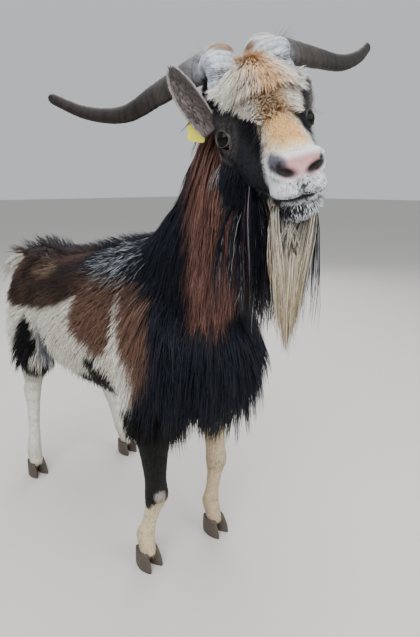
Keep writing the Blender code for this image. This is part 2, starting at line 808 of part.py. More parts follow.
class Coat:
    """Grows flat tapered locks from a node's surface, kept off all the flesh beneath them."""

    def __init__(self, obj, flesh, seed):
        self.draw = np.random.default_rng(seed)
        self.flesh = flesh
        bm = bmesh.new()
        bm.from_mesh(obj.data)
        bmesh.ops.triangulate(bm, faces=bm.faces)
        self.corners = np.array([[vert.co[:] for vert in face.verts] for face in bm.faces])
        self.normals = np.array([face.normal[:] for face in bm.faces])
        self.areas = np.array([face.calc_area() for face in bm.faces])
        bm.free()
        self.locks = []

    def roots(self, accept, apart, tries=5000):
        """Seeded places on the surface that keep a distance, as points with their normals."""
        order = self.draw.choice(len(self.areas), tries, p=self.areas / self.areas.sum())
        kept = []
        for index in order:
            a, b = np.sort(self.draw.random(2))
            point = Vector(np.array((a, b - a, 1 - b)) @ self.corners[index])
            normal = Vector(self.normals[index])
            if on_parting(point, normal) or not accept(point, normal):
                continue
            if all((point - other).length > apart for other, _ in kept):
                kept.append((point, normal))
        return kept

    def varied(self, size, share=0.15):
        return size * (1 + share * (2 * self.draw.random() - 1))

    def grow(self, kind, root, normal):
        """One lock: a root under the surface, then points that follow the lie and sag."""
        lie = kind.lie(root, normal)
        lie = (lie - normal * lie.dot(normal)).normalized()
        way = (lie + normal * kind.lift).normalized()
        length = min(self.varied(kind.length), max(0.03, root.z - self.varied(kind.lowest, 0.05)))
        stride = length / kind.steps
        hover = self.varied(kind.hover, 0.6)
        points, rises = [root - normal * LOCK_ROOT - way * 0.004], [normal]
        here = root + normal * 0.001
        for step in range(kind.steps):
            here = here + way * stride
            near, face_normal, _, _ = self.flesh.find_nearest(here)
            height = (here - near).dot(face_normal)
            least = hover * (0.35 + 0.65 * (step + 1) / kind.steps)
            if height < least:
                here = here + face_normal * (least - height)
            if height > kind.furthest:
                here = here - face_normal * (height - kind.furthest)
            points.append(here.copy())
            rises.append(face_normal.copy())
            way = ((here - points[-2]).normalized() + DOWN * kind.droop).normalized()
        self.locks.append(lock(points, rises, self.varied(kind.width), kind.thick))

    def cover(self, kind):
        for root, normal in self.roots(kind.where, kind.apart):
            self.grow(kind, root, normal)


def lock(points, rises, width, thick):
    """A flat lock of three sides that swells from its root and tapers to its tip."""
    bm = bmesh.new()
    rings = []
    last = len(points) - 1
    for i, (point, way) in enumerate(zip(points, tangents(points))):
        share = i / last
        half = width / 2 * max(0.07, 1 - share ** 2.4) * (0.65 + 0.35 * min(1, share * 3))
        high = thick * max(0.12, 1 - share ** 2)
        across = way.cross(rises[i]).normalized()
        rise = across.cross(way).normalized()
        rings.append((point - across * half, point + across * half, point + rise * high))
    loft(bm, rings)
    face_out(bm)
    bmesh.ops.triangulate(bm, faces=bm.faces)
    return mesh_object("lock", bm)


@dataclass
class Locks:
    """One kind of lock: where it grows, which way it lies, and its sizes."""

    node: str
    where: Callable
    lie: Callable
    apart: float
    length: float
    width: float
    thick: float = 0.007
    droop: float = 0.25
    hover: float = 0.010
    lift: float = 0.25
    steps: int = 3
    lowest: float = 0.0
    furthest: float = 1.0


def in_head(point):
    """A world point as places in the head's frame: towards the nose, left and crown."""
    away = point - HEAD_AT
    return away.dot(NOSE), away.dot(HEAD_LEFT), away.dot(CROWN)


# Where the kinds of coat grow: half widths, heights, turns of the surface and places in the head's frame
BACK_HALF_WIDTH = 0.035
SPINE_HALF_WIDTH = 0.020
BELLY_TURN, BELLY_HALF_WIDTH = -0.75, 0.065
HAUNCH_FLOOR = 0.44
BUTTOCK_HALF_WIDTH = 0.085
THROAT_TURN = -0.62
THROAT_TOP = 0.90
MANE_TOP = 0.955
PARTING_HALF_WIDTH = 0.010
FORELOCK_HALF_WIDTH = 0.030
FORELOCK_BACK, HORN_FRONT, FORELOCK_FRONT = -0.085, -0.010, 0.028
FORELOCK_TURN = 0.45
BEARD_BACK, BEARD_FRONT, BEARD_HALF_WIDTH = 0.035, 0.125, 0.021
JAW_BACK, JAW_FRONT, JAW_TOP, JAW_INNER = -0.075, -0.010, -0.030, 0.030
TUFT_FRONT = 0.440


def flank_lie(point, normal):
    """The coat falls down the sides and a little back."""
    return DOWN + BACK * 0.30


def crest_lie(point, normal):
    """Along the back the hair stands up and leans back."""
    return BACK + LEFT * (point.x * 4)


def neck_lie(point, normal):
    return DOWN + BACK * 0.22


def forelock_lie(point, normal):
    """From a parting between the horns the hair sweeps forwards and over both brows."""
    along, across, rise = in_head(point)
    return NOSE * 0.9 + HEAD_LEFT * (across * 30) - CROWN * 0.2


def beard_lie(point, normal):
    return DOWN + NOSE * 0.02


def cheek_lie(point, normal):
    return DOWN - NOSE * 0.45


def tail_lie(point, normal):
    return BACK * 0.9 - LEFT * 0.35 + DOWN * 0.4


def on_side(point, normal):
    return abs(point.x) > BACK_HALF_WIDTH and normal.z > BELLY_TURN


def on_belly(point, normal):
    return normal.z <= BELLY_TURN and abs(point.x) < BELLY_HALF_WIDTH


def on_spine(point, normal):
    return abs(point.x) < SPINE_HALF_WIDTH and normal.z > 0.5


def on_haunch(point, normal):
    return on_side(point, normal) and point.z > HAUNCH_FLOOR


def on_buttock(point, normal):
    return normal.y > 0.6 and point.z > HAUNCH_FLOOR and abs(point.x) <= BUTTOCK_HALF_WIDTH


def on_neck_side(point, normal):
    return normal.y > THROAT_TURN and normal.z < 0.8 and point.z < MANE_TOP


def on_throat(point, normal):
    return normal.y <= THROAT_TURN and point.z < THROAT_TOP


def on_forelock(point, normal):
    """The strip between the horns and the forehead before them."""
    along, across, rise = in_head(point)
    between_horns = FORELOCK_BACK < along and abs(across) < PARTING_HALF_WIDTH
    before_horns = HORN_FRONT < along and abs(across) < FORELOCK_HALF_WIDTH
    return along < FORELOCK_FRONT and (between_horns or before_horns) and normal.dot(CROWN) > FORELOCK_TURN


def on_chin(point, normal):
    along, across, rise = in_head(point)
    return BEARD_BACK < along < BEARD_FRONT and abs(across) < BEARD_HALF_WIDTH and normal.dot(CROWN) < -0.55


def on_jaw(point, normal):
    along, across, rise = in_head(point)
    return JAW_BACK < along < JAW_FRONT and rise < JAW_TOP and abs(across) > JAW_INNER


def on_tail(point, normal):
    return point.y > TUFT_FRONT


COAT = (
    Locks("chest", on_side, flank_lie, apart=0.080, length=0.165, width=0.092, thick=0.010, droop=0.25, hover=0.012,
          lowest=0.365),
    Locks("chest", on_belly, flank_lie, apart=0.090, length=0.050, width=0.052, lift=1.2, droop=0.5),
    Locks("chest", on_spine, crest_lie, apart=0.040, length=0.070, width=0.034, lift=0.35),
    Locks("barrel", on_side, flank_lie, apart=0.080, length=0.145, width=0.092, thick=0.009, lowest=0.325),
    Locks("barrel", on_belly, flank_lie, apart=0.090, length=0.042, width=0.052, lift=1.0, droop=0.4),
    Locks("barrel", on_spine, crest_lie, apart=0.040, length=0.070, width=0.034, lift=0.35),
    Locks("rump", on_haunch, flank_lie, apart=0.078, length=0.120, width=0.086, thick=0.007, hover=0.007),
    Locks("rump", on_spine, crest_lie, apart=0.040, length=0.080, width=0.036, lift=0.50, droop=0.1),
    Locks("rump", on_buttock, flank_lie, apart=0.075, length=0.080, width=0.056, hover=0.007),
    Locks("neck", on_neck_side, neck_lie, apart=0.063, length=0.170, width=0.058, thick=0.008, lift=0.15,
          droop=0.30, furthest=0.022),
    Locks("neck", on_throat, neck_lie, apart=0.056, length=0.140, width=0.046, droop=0.6, hover=0.018),
    Locks("head", on_forelock, forelock_lie, apart=0.0180, length=0.074, width=0.034, lift=0.35, droop=0.30,
          thick=0.008, hover=0.016, furthest=0.028),
    Locks("head", on_chin, beard_lie, apart=0.0175, length=0.160, width=0.030, lift=1.8, droop=1.6, hover=0.004),
    Locks("head", on_jaw, cheek_lie, apart=0.036, length=0.055, width=0.030, thick=0.004, hover=0.005),
    Locks("tail", on_tail, tail_lie, apart=0.022, length=0.070, width=0.022, thick=0.005, lift=0.30, hover=0.004),
)
# The partings that each node's locks are cut back to, and the side that they keep
COAT_ENDS = {
    "head": ((HEAD_PART, True),),
    "neck": ((HEAD_PART, False), (NECK_PART, True), (CHEST_PART, True)),
    "chest": ((NECK_PART, False), (CHEST_PART, True)),
    "barrel": ((CHEST_PART, False), (BARREL_PART, True)),
    "rump": ((BARREL_PART, False), (TAIL_PART, False)),
    "tail": ((TAIL_PART, True),),
}
# The share of the triangles to keep once the locks are joined on
COAT_KEPT = 0.74
# Each node's layout of its locks
COAT_SEEDS = {"head": 404, "neck": 401, "chest": 404, "barrel": 401, "rump": 410, "tail": 408}
# How many layouts of the locks may be tried for one that fuses into a closed surface
COAT_TRIES = 24
# The neighbours that each node with locks leaves room for
COAT_ROOM = {
    "head": ("horn", "ear", "eye", "tag"),
    "neck": ("horn", "ear", "tag"),
    "chest": ("foreleg_upper",),
    "barrel": ("foreleg_upper", "hindleg_upper"),
    "rump": ("hindleg_upper",),
    "tail": (),
}


def with_locks(node, flesh, seed):
    """A copy of the node with its locks joined on."""
    furred = copy_of(node, node.name)
    coat = Coat(node, flesh, seed)
    for kind in COAT:
        if kind.node == node.name:
            coat.cover(kind)
    boolean(furred, coat.locks, "UNION")
    return thin_out(keep_largest(furred), COAT_KEPT)


def cut_clear(furred, ends, rooms):
    """Cuts a furred node back to its partings and clear of its neighbours."""
    keep_side(furred, *ends)
    if rooms:
        boolean(furred, [swollen(room, SOCKET) for room in rooms], "DIFFERENCE")
    return keep_largest(furred)


def grow_coat(nodes):
    """Gives the nodes their coats. A layout whose locks only touch along an edge is drawn again."""
    apart = ("horn", "ear", "tag", "eye", "hoof")
    flesh = tree_of(*(obj for name, obj in nodes.items() if not name.startswith(apart)))
    for name, ends in COAT_ENDS.items():
        rooms = [nodes[f"{part}_{side}"] for part in COAT_ROOM[name] for side in ("right", "left")]
        for layout in range(COAT_TRIES):
            furred = with_locks(nodes[name], flesh, COAT_SEEDS[name] + 100 * layout)
            if is_closed(furred) and is_closed(cut_clear(furred, ends, rooms)):
                break
            discard(furred)
        discard(nodes[name])
        furred.name = name
        nodes[name] = keep_largest(furred)


def part_body(form):
    """The trunk, neck, legs and tail as separate nodes, each cut from the one form."""
    nodes = {}

    def cut(name, *parts):
        piece = copy_of(form, name)
        keep_side(piece, *parts)
        nodes[name] = keep_largest(piece)

    cut("neck", (HEAD_PART, False), (NECK_PART, True), (CHEST_PART, True))
    cut("chest", (NECK_PART, False), (CHEST_PART, True), (ELBOW_PART, False))
    cut("barrel", (CHEST_PART, False), (BARREL_PART, True), (ELBOW_PART, False))
    cut("rump", (BARREL_PART, False), (THIGH_PART, False), (TAIL_PART, False))
    cut("tail", (TAIL_PART, True))
    for side, is_left in (("right", False), ("left", True)):
        cut("foreleg_upper_" + side, (ELBOW_PART, True), (KNEE_PART, False), (MIDDLE_PART, is_left),
            (FORE_HIND_PART, True))
        cut("foreleg_lower_" + side, (KNEE_PART, True), (FOOT_PART, False), (MIDDLE_PART, is_left),
            (FORE_HIND_PART, True))
        cut("hindleg_upper_" + side, (THIGH_PART, True), (HOCK_PART, False), (MIDDLE_PART, is_left),
            (FORE_HIND_PART, False), (TAIL_PART, False))
        cut("hindleg_lower_" + side, (HOCK_PART, True), (FOOT_PART, False), (MIDDLE_PART, is_left),
            (FORE_HIND_PART, False))
    return nodes


def build():
    for obj in list(bpy.data.objects):
        bpy.data.objects.remove(obj)
    form = body_form()
    nodes = part_body(form)
    discard(form)
    skull = head_form()
    skull.name = "head"
    nodes["head"] = keep_largest(keep_side(skull, (HEAD_PART, True)))
    for side, number in (("right", -1), ("left", 1)):
        nodes["horn_" + side] = horn("horn_" + side, HORN_RIGHT if number < 0 else HORN_LEFT, number)
        nodes["ear_" + side] = ear("ear_" + side, number)
        nodes["eye_" + side] = eye("eye_" + side, number)
        nodes["tag_" + side] = ear_tag("tag_" + side, number)
    boolean(nodes["head"], [lid(side, upper) for side in (-1, 1) for upper in (True, False)], "UNION")
    boolean(nodes["head"], [nostril(-1), nostril(1), mouth_line()], "DIFFERENCE")
    for name, sections in legs().items():
        middle = sections[-1][0].copy()
        middle.z = 0
        for label, number in (("inner", -1), ("outer", 1)):
            sign = number if name.endswith("left") else -number
            place = middle + Vector((sign * CLAW_APART, 0, 0))
            nodes[f"hoof_{name}_{label}"] = claw(f"hoof_{name}_{label}", place, sign)
        lower = nodes[name.replace("leg_", "leg_lower_")]
        boolean(lower, dew_claws(sections), "UNION")
        keep_largest(lower)
    grow_coat(nodes)
    for name, colour in COAT_COLOURS.items():
        finish(nodes[name], paint("coat_" + name, colour, 0.8))
    return nodes


def centre_on_origin(nodes):
    """Moves the whole goat so that the middle of its outline's box is over the origin."""
    points = [vert.co for obj in nodes.values() for vert in obj.data.vertices]
    middle = [(min(point[i] for point in points) + max(point[i] for point in points)) / 2 for i in (0, 1)]
    shift = Vector((-middle[0], -middle[1], 0))
    for obj in nodes.values():
        obj.data.transform(Matrix.Translation(shift))
    return shift


NODES = build()
SHIFT = centre_on_origin(NODES)
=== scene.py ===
"""The looks of a styrian pied goat buck: skin, coat, horns, eyes, ears, tags and hooves.

Units are metres and +Z is up. The goat faces -Y, so its own left side is +X.
Shapes are made in the goat's own frame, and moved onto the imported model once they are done.
"""

import itertools
import math
from collections.abc import Callable
from dataclasses import dataclass

import bmesh
import bpy
import numpy as np
from mathutils import Matrix, Vector
from mathutils.bvhtree import BVHTree
from mathutils.kdtree import KDTree


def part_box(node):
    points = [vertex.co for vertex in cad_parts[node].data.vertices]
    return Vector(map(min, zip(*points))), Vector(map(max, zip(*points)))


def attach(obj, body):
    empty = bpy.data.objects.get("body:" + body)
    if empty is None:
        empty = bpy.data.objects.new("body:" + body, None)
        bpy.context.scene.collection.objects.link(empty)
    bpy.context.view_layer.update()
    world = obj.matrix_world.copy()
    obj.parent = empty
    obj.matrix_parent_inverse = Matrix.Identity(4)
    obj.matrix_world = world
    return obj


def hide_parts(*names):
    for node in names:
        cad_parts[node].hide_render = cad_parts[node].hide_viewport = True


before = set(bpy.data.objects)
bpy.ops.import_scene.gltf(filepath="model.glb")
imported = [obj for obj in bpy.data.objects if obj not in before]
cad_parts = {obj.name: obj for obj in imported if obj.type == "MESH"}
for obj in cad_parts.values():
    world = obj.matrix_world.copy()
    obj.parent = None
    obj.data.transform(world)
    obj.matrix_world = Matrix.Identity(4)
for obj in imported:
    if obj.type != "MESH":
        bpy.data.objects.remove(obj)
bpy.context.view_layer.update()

UP = Vector((0, 0, 1))
DOWN = Vector((0, 0, -1))
BACK = Vector((0, 1, 0))
LEFT = Vector((1, 0, 0))

# Trunk sections: place along Y, height of the middle, half width, rise and fall from the middle
TRUNK = (
    (-0.425, 0.545, 0.045, 0.060, 0.060),
    (-0.390, 0.550, 0.082, 0.105, 0.105),
    (-0.320, 0.570, 0.112, 0.150, 0.150),
    (-0.225, 0.585, 0.130, 0.187, 0.180),
    (-0.130, 0.578, 0.143, 0.172, 0.183),
    (-0.030, 0.568, 0.153, 0.162, 0.176),
    (0.080, 0.560, 0.155, 0.146, 0.166),
    (0.180, 0.562, 0.145, 0.128, 0.146),
    (0.270, 0.574, 0.120, 0.128, 0.138),
    (0.345, 0.586, 0.094, 0.118, 0.128),
    (0.397, 0.585, 0.058, 0.080, 0.090),
    (0.416, 0.582, 0.025, 0.035, 0.040),
)
SHOULDER_AT = Vector((0.090, -0.265, 0.530))
SHOULDER_SIZE = Vector((0.050, 0.100, 0.160))
HAUNCH_AT = Vector((0.074, 0.262, 0.555))
HAUNCH_SIZE = Vector((0.060, 0.116, 0.130))
HIP_AT = Vector((0.062, 0.250, 0.680))
HIP_SIZE = Vector((0.032, 0.050, 0.026))

# Neck sections: middle, half width, half depth
NECK = (
    ((0.000, -0.235, 0.620), 0.098, 0.150),
    ((-0.006, -0.325, 0.725), 0.078, 0.112),
    ((-0.020, -0.398, 0.822), 0.064, 0.086),
    ((-0.042, -0.452, 0.905), 0.056, 0.070),
    ((-0.066, -0.497, 0.970), 0.050, 0.056),
)
# The neck twists late, close to the head
NECK_TURN_EASE = 1.5

# The head's own frame: midway between the eyes, turned right, nodding and tilted to its right
HEAD_AT = Vector((-0.127, -0.563, 0.968))
HEAD_TURN = math.radians(40)
HEAD_NOD = math.radians(7)
HEAD_TILT = math.radians(13.5)

# Head sections: place towards the nose, half width, rise of the top and fall of the underside
HEAD = (
    (-0.112, 0.034, 0.034, -0.030),
    (-0.096, 0.050, 0.054, -0.062),
    (-0.065, 0.059, 0.066, -0.090),
    (-0.025, 0.059, 0.062, -0.102),
    (0.015, 0.052, 0.044, -0.104),
    (0.055, 0.043, 0.022, -0.102),
    (0.095, 0.0345, 0.000, -0.098),
    (0.125, 0.0305, -0.016, -0.094),
    (0.144, 0.0255, -0.031, -0.086),
    (0.155, 0.015, -0.043, -0.072),
)
# Round forms of the head: place, then size, on the left side of it
HEAD_FORMS = (
    ((-0.006, 0.042, 0.006), (0.036, 0.021, 0.026)),
    ((-0.034, 0.040, -0.054), (0.048, 0.019, 0.042)),
    ((-0.062, 0.032, 0.044), (0.038, 0.030, 0.028)),
    ((0.140, 0.018, -0.050), (0.019, 0.014, 0.015)),
    ((0.130, 0.013, -0.073), (0.028, 0.0185, 0.016)),
    ((0.112, 0.000, -0.096), (0.030, 0.025, 0.015)),
)
MOUTH_HEIGHT = -0.0850
MOUTH_CORNER = 0.062
# How deep the nostrils, mouth, groove under the nose and folds over the eye are pressed in
NOSTRIL_DEPTH, MOUTH_DEPTH, GROOVE_DEPTH, FOLD_DEPTH = 0.0065, 0.0056, 0.0022, 0.0009
# How far the lips and the wings of the nose are raised
LIP_RISE, WING_RISE = 0.0012, 0.0018
FOLDS, FOLDS_APART = 4, 0.0062

EYE_AT = (0.004, 0.0500, -0.015)
EYE_RADIUS = 0.0152
EYE_OPENING = (0.0118, 0.0102)
# How far the ball, smaller than the solid one, is set out to reach as far
EYE_OUT = 0.0018
# How far forwards and up an eye looks, for each step to its side
EYE_FORWARD, EYE_UP = 0.75, 0.05
# The clear dome in front of the ball: its reach, in radii of the ball, and its height
CORNEA_REACH, CORNEA_HEIGHT = 0.62, 0.0011
# Height of the lids over the middle of the eye, and how many openings out the socket reaches
LID_HEIGHT, SOCKET_REACH = 0.0092, 2.6
# Rows of the lids from the inner edge out: share of the opening, and height over the ball or the skin
LID_ROWS = (
    (0.90, -0.0020), (0.95, -0.0004), (1.00, 0.0008), (1.06, 0.0013), (1.14, 0.0012),
    (1.24, 0.0002), (1.33, 0.0009), (1.44, -0.0002), (1.54, 0.0006), (1.70, -0.0010),
)
# Rows up to this share lie on the ball
LID_ON_BALL = 1.08
LID_POINTS = 64
# The pupil: how many times as long as high, and where its edge starts and ends, in radii of the ball
PUPIL_FLATNESS, PUPIL_EDGE = 2.6, (0.40, 0.46)
# How strongly tears bend light
TEAR_IOR = 1.34

# Horns: middles from root to tip in the head's frame, on the left side of it
HORN_RIGHT = (
    (-0.046, 0.031, 0.032),
    (-0.066, 0.033, 0.077),
    (-0.110, 0.063, 0.079),
    (-0.153, 0.124, 0.064),
    (-0.193, 0.186, 0.049),
    (-0.230, 0.251, 0.066),
    (-0.268, 0.313, 0.107),
)
HORN_LEFT = (
    (-0.046, 0.031, 0.032),
    (-0.066, 0.033, 0.077),
    (-0.112, 0.064, 0.080),
    (-0.165, 0.132, 0.062),
    (-0.209, 0.189, 0.047),
    (-0.254, 0.239, 0.050),
    (-0.303, 0.283, 0.066),
)
HORN_DEPTH = (0.040, 0.009)
HORN_THICKNESS = (0.021, 0.006)
HORN_TAPER = 1.35
# How the flat of a horn is turned from the head's length, at its root and at its tip
HORN_SET, HORN_TWIST = math.radians(38), math.radians(85)
HORN_RINGS = 150
HORN_SIDES = 28
# Growth rings: how many sections apart they are, and how strong they are at the root and at the tip
RING_APART, RING_AT_ROOT, RING_AT_TIP = 5.3, 0.055, 0.020
# Rough, brown growths at the root of each horn: place on the left side of the head, reach and height
HORN_SCARS = {-1: ((-0.072, 0.026, 0.100), 0.020, 0.0050), 1: ((-0.066, 0.010, 0.092), 0.013, 0.0080)}

# Ears: root and tip in the head's frame, on the left side of it
EAR_ROOT = (-0.056, 0.060, -0.004)
EAR_TIP_RIGHT = (-0.088, 0.098, 0.086)
EAR_TIP_LEFT = (-0.140, 0.108, 0.026)
EAR_HALF_WIDTH = 0.0175
EAR_WALL = 0.0028
EAR_BEND = math.radians(115)
EAR_STATIONS, EAR_STRIP = 36, 24
# Shares of the ear's hair that grow on its back, and on its back or in its cup. The rest is fringe
EAR_BACK, EAR_BACK_AND_CUP = 0.50, 0.62
EAR_HAIRS, EAR_HAIR_WIDTH = 3600, 0.0014
TAG_SIZE = (0.030, 0.034, 0.0016)
TAG_CORNER, TAG_RIM = 0.005, 0.0004
# The round head of a tag's pin: radii at its foot and top, and height
PIN_RADII, PIN_HEIGHT = (0.0075, 0.0066), 0.0018
TAG_ALONG_EAR = 0.30
# How far a tag hangs below its pin, in its heights, and outwards, and its gap to the ear
TAG_HANG, TAG_OUT, TAG_GAP = 0.72, 0.010, 0.0006

# Fore leg sections, from the top down: x, y, z, half width, half depth
FORE_LEG = (
    (0.084, -0.268, 0.560, 0.048, 0.086),
    (0.098, -0.246, 0.460, 0.046, 0.066),
    (0.104, -0.238, 0.400, 0.038, 0.052),
    (0.106, -0.243, 0.320, 0.029, 0.035),
    (0.108, -0.248, 0.258, 0.024, 0.026),
    (0.108, -0.251, 0.215, 0.0275, 0.0285),
    (0.109, -0.243, 0.176, 0.0205, 0.0205),
    (0.109, -0.234, 0.130, 0.0175, 0.0185),
    (0.109, -0.224, 0.084, 0.0230, 0.0235),
    (0.109, -0.234, 0.056, 0.0215, 0.0205),
    (0.109, -0.243, 0.030, 0.0230, 0.0220),
)
# Hind leg sections, in the same way
HIND_LEG = (
    (0.082, 0.285, 0.590, 0.048, 0.104),
    (0.112, 0.250, 0.500, 0.046, 0.092),
    (0.124, 0.232, 0.430, 0.044, 0.072),
    (0.120, 0.250, 0.375, 0.033, 0.050),
    (0.114, 0.280, 0.325, 0.023, 0.034),
    (0.112, 0.302, 0.288, 0.0245, 0.034),
    (0.114, 0.303, 0.240, 0.0195, 0.0250),
    (0.120, 0.302, 0.160, 0.0170, 0.0195),
    (0.126, 0.307, 0.086, 0.0225, 0.0245),
    (0.128, 0.303, 0.056, 0.0210, 0.0205),
    (0.128, 0.298, 0.030, 0.0225, 0.0220),
)
# The row of a leg's sections that carries the dewclaws, their radius and their length
DEW_CLAW_ROW, DEW_CLAW_RADIUS, DEW_CLAW_LENGTH = 8, 0.007, 0.018
# Middle of the bare patch on the right knee
KNEE_PATCH = (-0.117, -0.309, 0.225)
# How far each left foot stands from the mirror image of the right one
LEFT_FORE_STEP = Vector((-0.026, -0.040, 0))
LEFT_HIND_STEP = Vector((0.016, -0.104, 0))
# Heights between which a step of the fore and of the hind leg fades out
FORE_STEP_FADES, HIND_STEP_FADES = (0.10, 0.56), (0.05, 0.36)
# The right foreleg leans forwards over its foot
RIGHT_FORE_LEAN = Vector((0, -0.032, 0))
LEAN_RISES, LEAN_FADES = (0.03, 0.20), (0.42, 0.56)

# Hooves: two claws a foot
HOOF_TOP = 0.044
CLAW_LENGTH = 0.062
CLAW_HALF_WIDTH = 0.0125
CLAW_APART = 0.0150
CLAW_TOE_SLOPE = 0.60
CLAW_SPLAY = math.radians(5)
CLAW_SIDES, CLAW_LEVELS = 32, 14
# Heights on a claw, and its scale and how far it is set back at these heights
CLAW_SCALE = ((0, 0.022, HOOF_TOP), (1.0, 0.94, 0.74))
CLAW_SET_BACK = ((0, 0.022, HOOF_TOP), (0.0, 0.05, 0.18))

# Tail sections: middle, half width, half depth
TAIL = (
    ((0.000, 0.375, 0.655), 0.030, 0.024),
    ((-0.004, 0.425, 0.668), 0.024, 0.017),
    ((-0.020, 0.475, 0.656), 0.018, 0.012),
    ((-0.042, 0.515, 0.632), 0.009, 0.007),
)

# Where the parts of the coat meet: a point and the way to the part named
HEAD_PART = ((-0.062, -0.515, 0.900), (-0.686, -0.705, 0.178))
NECK_PART = ((0, -0.215, 0.795), (0, -0.771, 0.638))
CHEST_PART = ((0, -0.125, 0.5), (0, -1, 0))
BARREL_PART = ((0, 0.045, 0.5), (0, -1, 0))
TAIL_PART = ((0, 0.418, 0.66), (0, 0.99, 0.14))
ELBOW_HEIGHT = 0.372
THIGH_PART = ((0, 0.100, 0.383), (0, 0.27, -0.963))

# Edges of the markings in the side view: heights, and the places along Y at those heights
BLACK_EDGE = (
    (0.20, 0.38, 0.42, 0.47, 0.52, 0.58, 0.64, 0.68, 0.72),
    (-0.18, -0.20, -0.24, -0.285, -0.31, -0.32, -0.315, -0.29, -0.16),
)
STRIPE_REAR = (
    (0.44, 0.50, 0.53, 0.56, 0.61, 0.66, 0.69),
    (-0.13, -0.135, -0.16, -0.182, -0.205, -0.207, -0.207),
)
STRIPE_FRONT = (
    (0.40, 0.46, 0.50, 0.53, 0.56, 0.62, 0.66, 0.69),
    (-0.285, -0.295, -0.285, -0.268, -0.238, -0.228, -0.215, -0.207),
)
# Edges that run along the body: places along Y, and the heights at those places
RUMP_LOW = ((-0.12, -0.08, 0.00, 0.10, 0.28, 0.40), (0.665, 0.645, 0.61, 0.582, 0.558, 0.55))
SADDLE_LOW = ((-0.24, -0.17, -0.12, -0.07, -0.03), (0.49, 0.515, 0.522, 0.540, 0.585))
BACK_LOW = ((-0.40, -0.30, -0.20, -0.10, 0.00, 0.40), (0.68, 0.695, 0.705, 0.70, 0.685, 0.68))
# The way across the photo's view, level: towards the goat's left front
ACROSS_VIEW = (0.695, -0.719)
# Edges of the mane: heights, and where it starts and ends across the view at those heights
MANE_LOW = ((0.60, 0.66, 0.80, 0.92), (0.225, 0.212, 0.208, 0.222))
MANE_HIGH = ((0.60, 0.68, 0.80, 0.92), (0.245, 0.295, 0.292, 0.275))
# The blaze and the tan in it: places towards the nose, and half widths at those places
BLAZE = ((-0.02, 0.03, 0.08, 0.12), (0.040, 0.027, 0.021, 0.030))
BLAZE_TAN = ((0.0, 0.08, 0.12, 0.145), (0.030, 0.020, 0.017, 0.011))
# The patches of the left side lie this much further forwards and lower
LEFT_FORWARD, LEFT_LOWER = 0.035, 0.012

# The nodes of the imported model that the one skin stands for
FLESH = (
    "head", "neck", "chest", "barrel", "rump", "tail",
    "foreleg_upper_right", "foreleg_upper_left", "foreleg_lower_right", "foreleg_lower_left",
    "hindleg_upper_right", "hindleg_upper_left", "hindleg_lower_right", "hindleg_lower_left",
)

# Grain and smoothing rounds of the skin, finer on the head
BODY_VOXEL, BODY_SMOOTHING = 0.0064, 20
HEAD_VOXEL, HEAD_SMOOTHING = 0.0019, 14
# Where the head's skin is sewn on: section of the neck, half of the gap left there, and smoothing rounds
SEAM_ROW, SEAM_HALF_GAP, SEAM_SMOOTHING = 3, 0.004, 6

# Where the beard draws in to, in the head's frame
BEARD_FALL = (0.082, 0.004, -0.10)
# How deep a long hair is rooted, and how far the hairs of a lock lie one over the other
ROOT_DEPTH, LOCK_DEPTH = 0.003, 0.003
# How far a hair strays sideways, in its lengths
SPLAY = 0.045
# The shortest that hair is cut to where it would hang too low
SHORTEST = 0.022
# Tries at a place for each root that is kept
TRIES = 4
# Painted shade: how dark hair is painted at its root, deep in the coat, where shade falls
ROOT_SHADE = 0.74
# Width of one tuft on the unwrap
TUFT_PATCH = 0.003

# The photo's camera
CAMERA_AT = Vector((-0.641, -0.963, 0.88))
CAMERA_DOWN = math.radians(16.4)
CAMERA_TURN = math.radians(-46)
PHOTO_HEIGHT, FOCAL_PIXELS, SENSOR = 637, 450, 36
# Soft studio lights: name, place, size and power
LIGHTS = (
    ("key", (-2.2, -1.6, 2.6), 2.6, 130),
    ("front", (0.6, -3.0, 1.8), 2.4, 60),
    ("top", (0.2, 0.4, 3.2), 3.0, 70),
    ("rear", (2.4, 2.2, 2.2), 2.4, 60),
)
LIT_PLACE = Vector((0, 0, 0.6))
STUDIO_STRENGTH = 0.75


def linear(colour):
    """An sRGB hex colour as linear parts."""
    parts = [int(colour[i:i + 2], 16) / 255 for i in (0, 2, 4)]
    return np.array([part / 12.92 if part <= 0.04045 else ((part + 0.055) / 1.055) ** 2.4 for part in parts])


# The coat's colours
BLUE_BLACK = linear("121621")
BLACK = linear("09090a")
DARK_BROWN = linear("2b211e")
BROWN = linear("6a4f43")
RED_BROWN = linear("74534b")
WHITE = linear("dcd8cd")
MUZZLE_WHITE = linear("dfe1e6")
CREAM = linear("d2c2a0")
BEIGE = linear("a08a70")
SILVER = linear("a9b2ba")
GREY_BLUE = linear("5f636c")
ORANGE_TAN = linear("c6965a")
FORELOCK_TAN = linear("e6b474")
FORELOCK_WHITE = linear("f6f3ea")
GOLD = linear("d6b07c")
FACE_GREY = linear("4b4543")
PINK = linear("d6a5ac")
# Painted shade, near black, deep in the nostrils and along the line of the mouth
PAINTED_HOLLOW_SHADE = linear("1a1213")
SLATE = linear("4a4a55")
BARE_GREY = linear("8d8680")
STRAW = linear("d9bd8e")
NOSE_BROWN = linear("a97c72")
BEARD_GREY = linear("bdb9ac")
BEARD_GOLD = linear("cdb58b")
EAR_BACK_GREY = linear("3f3d40")
EAR_CUP_GREY = linear("55504f")
EAR_FRINGE = linear("a8a4a0")
STUDIO_GREY = linear("e8ebef")
FLOOR_GREY = linear("c9c6c1")
# Colours of a horn from root to tip, and of an iris from its middle out, at shares of the way
HORN_COLOURS = (
    (0.0, "b4bcc6"), (0.20, "a2a8b0"), (0.30, "67676a"), (0.40, "35312e"), (0.60, "1c1815"), (1.0, "211b18"),
)
IRIS_COLOURS = ((0.10, "0d0906"), (0.35, "120c07"), (0.58, "0d0906"), (0.66, "050404"), (0.80, "0b0807"))


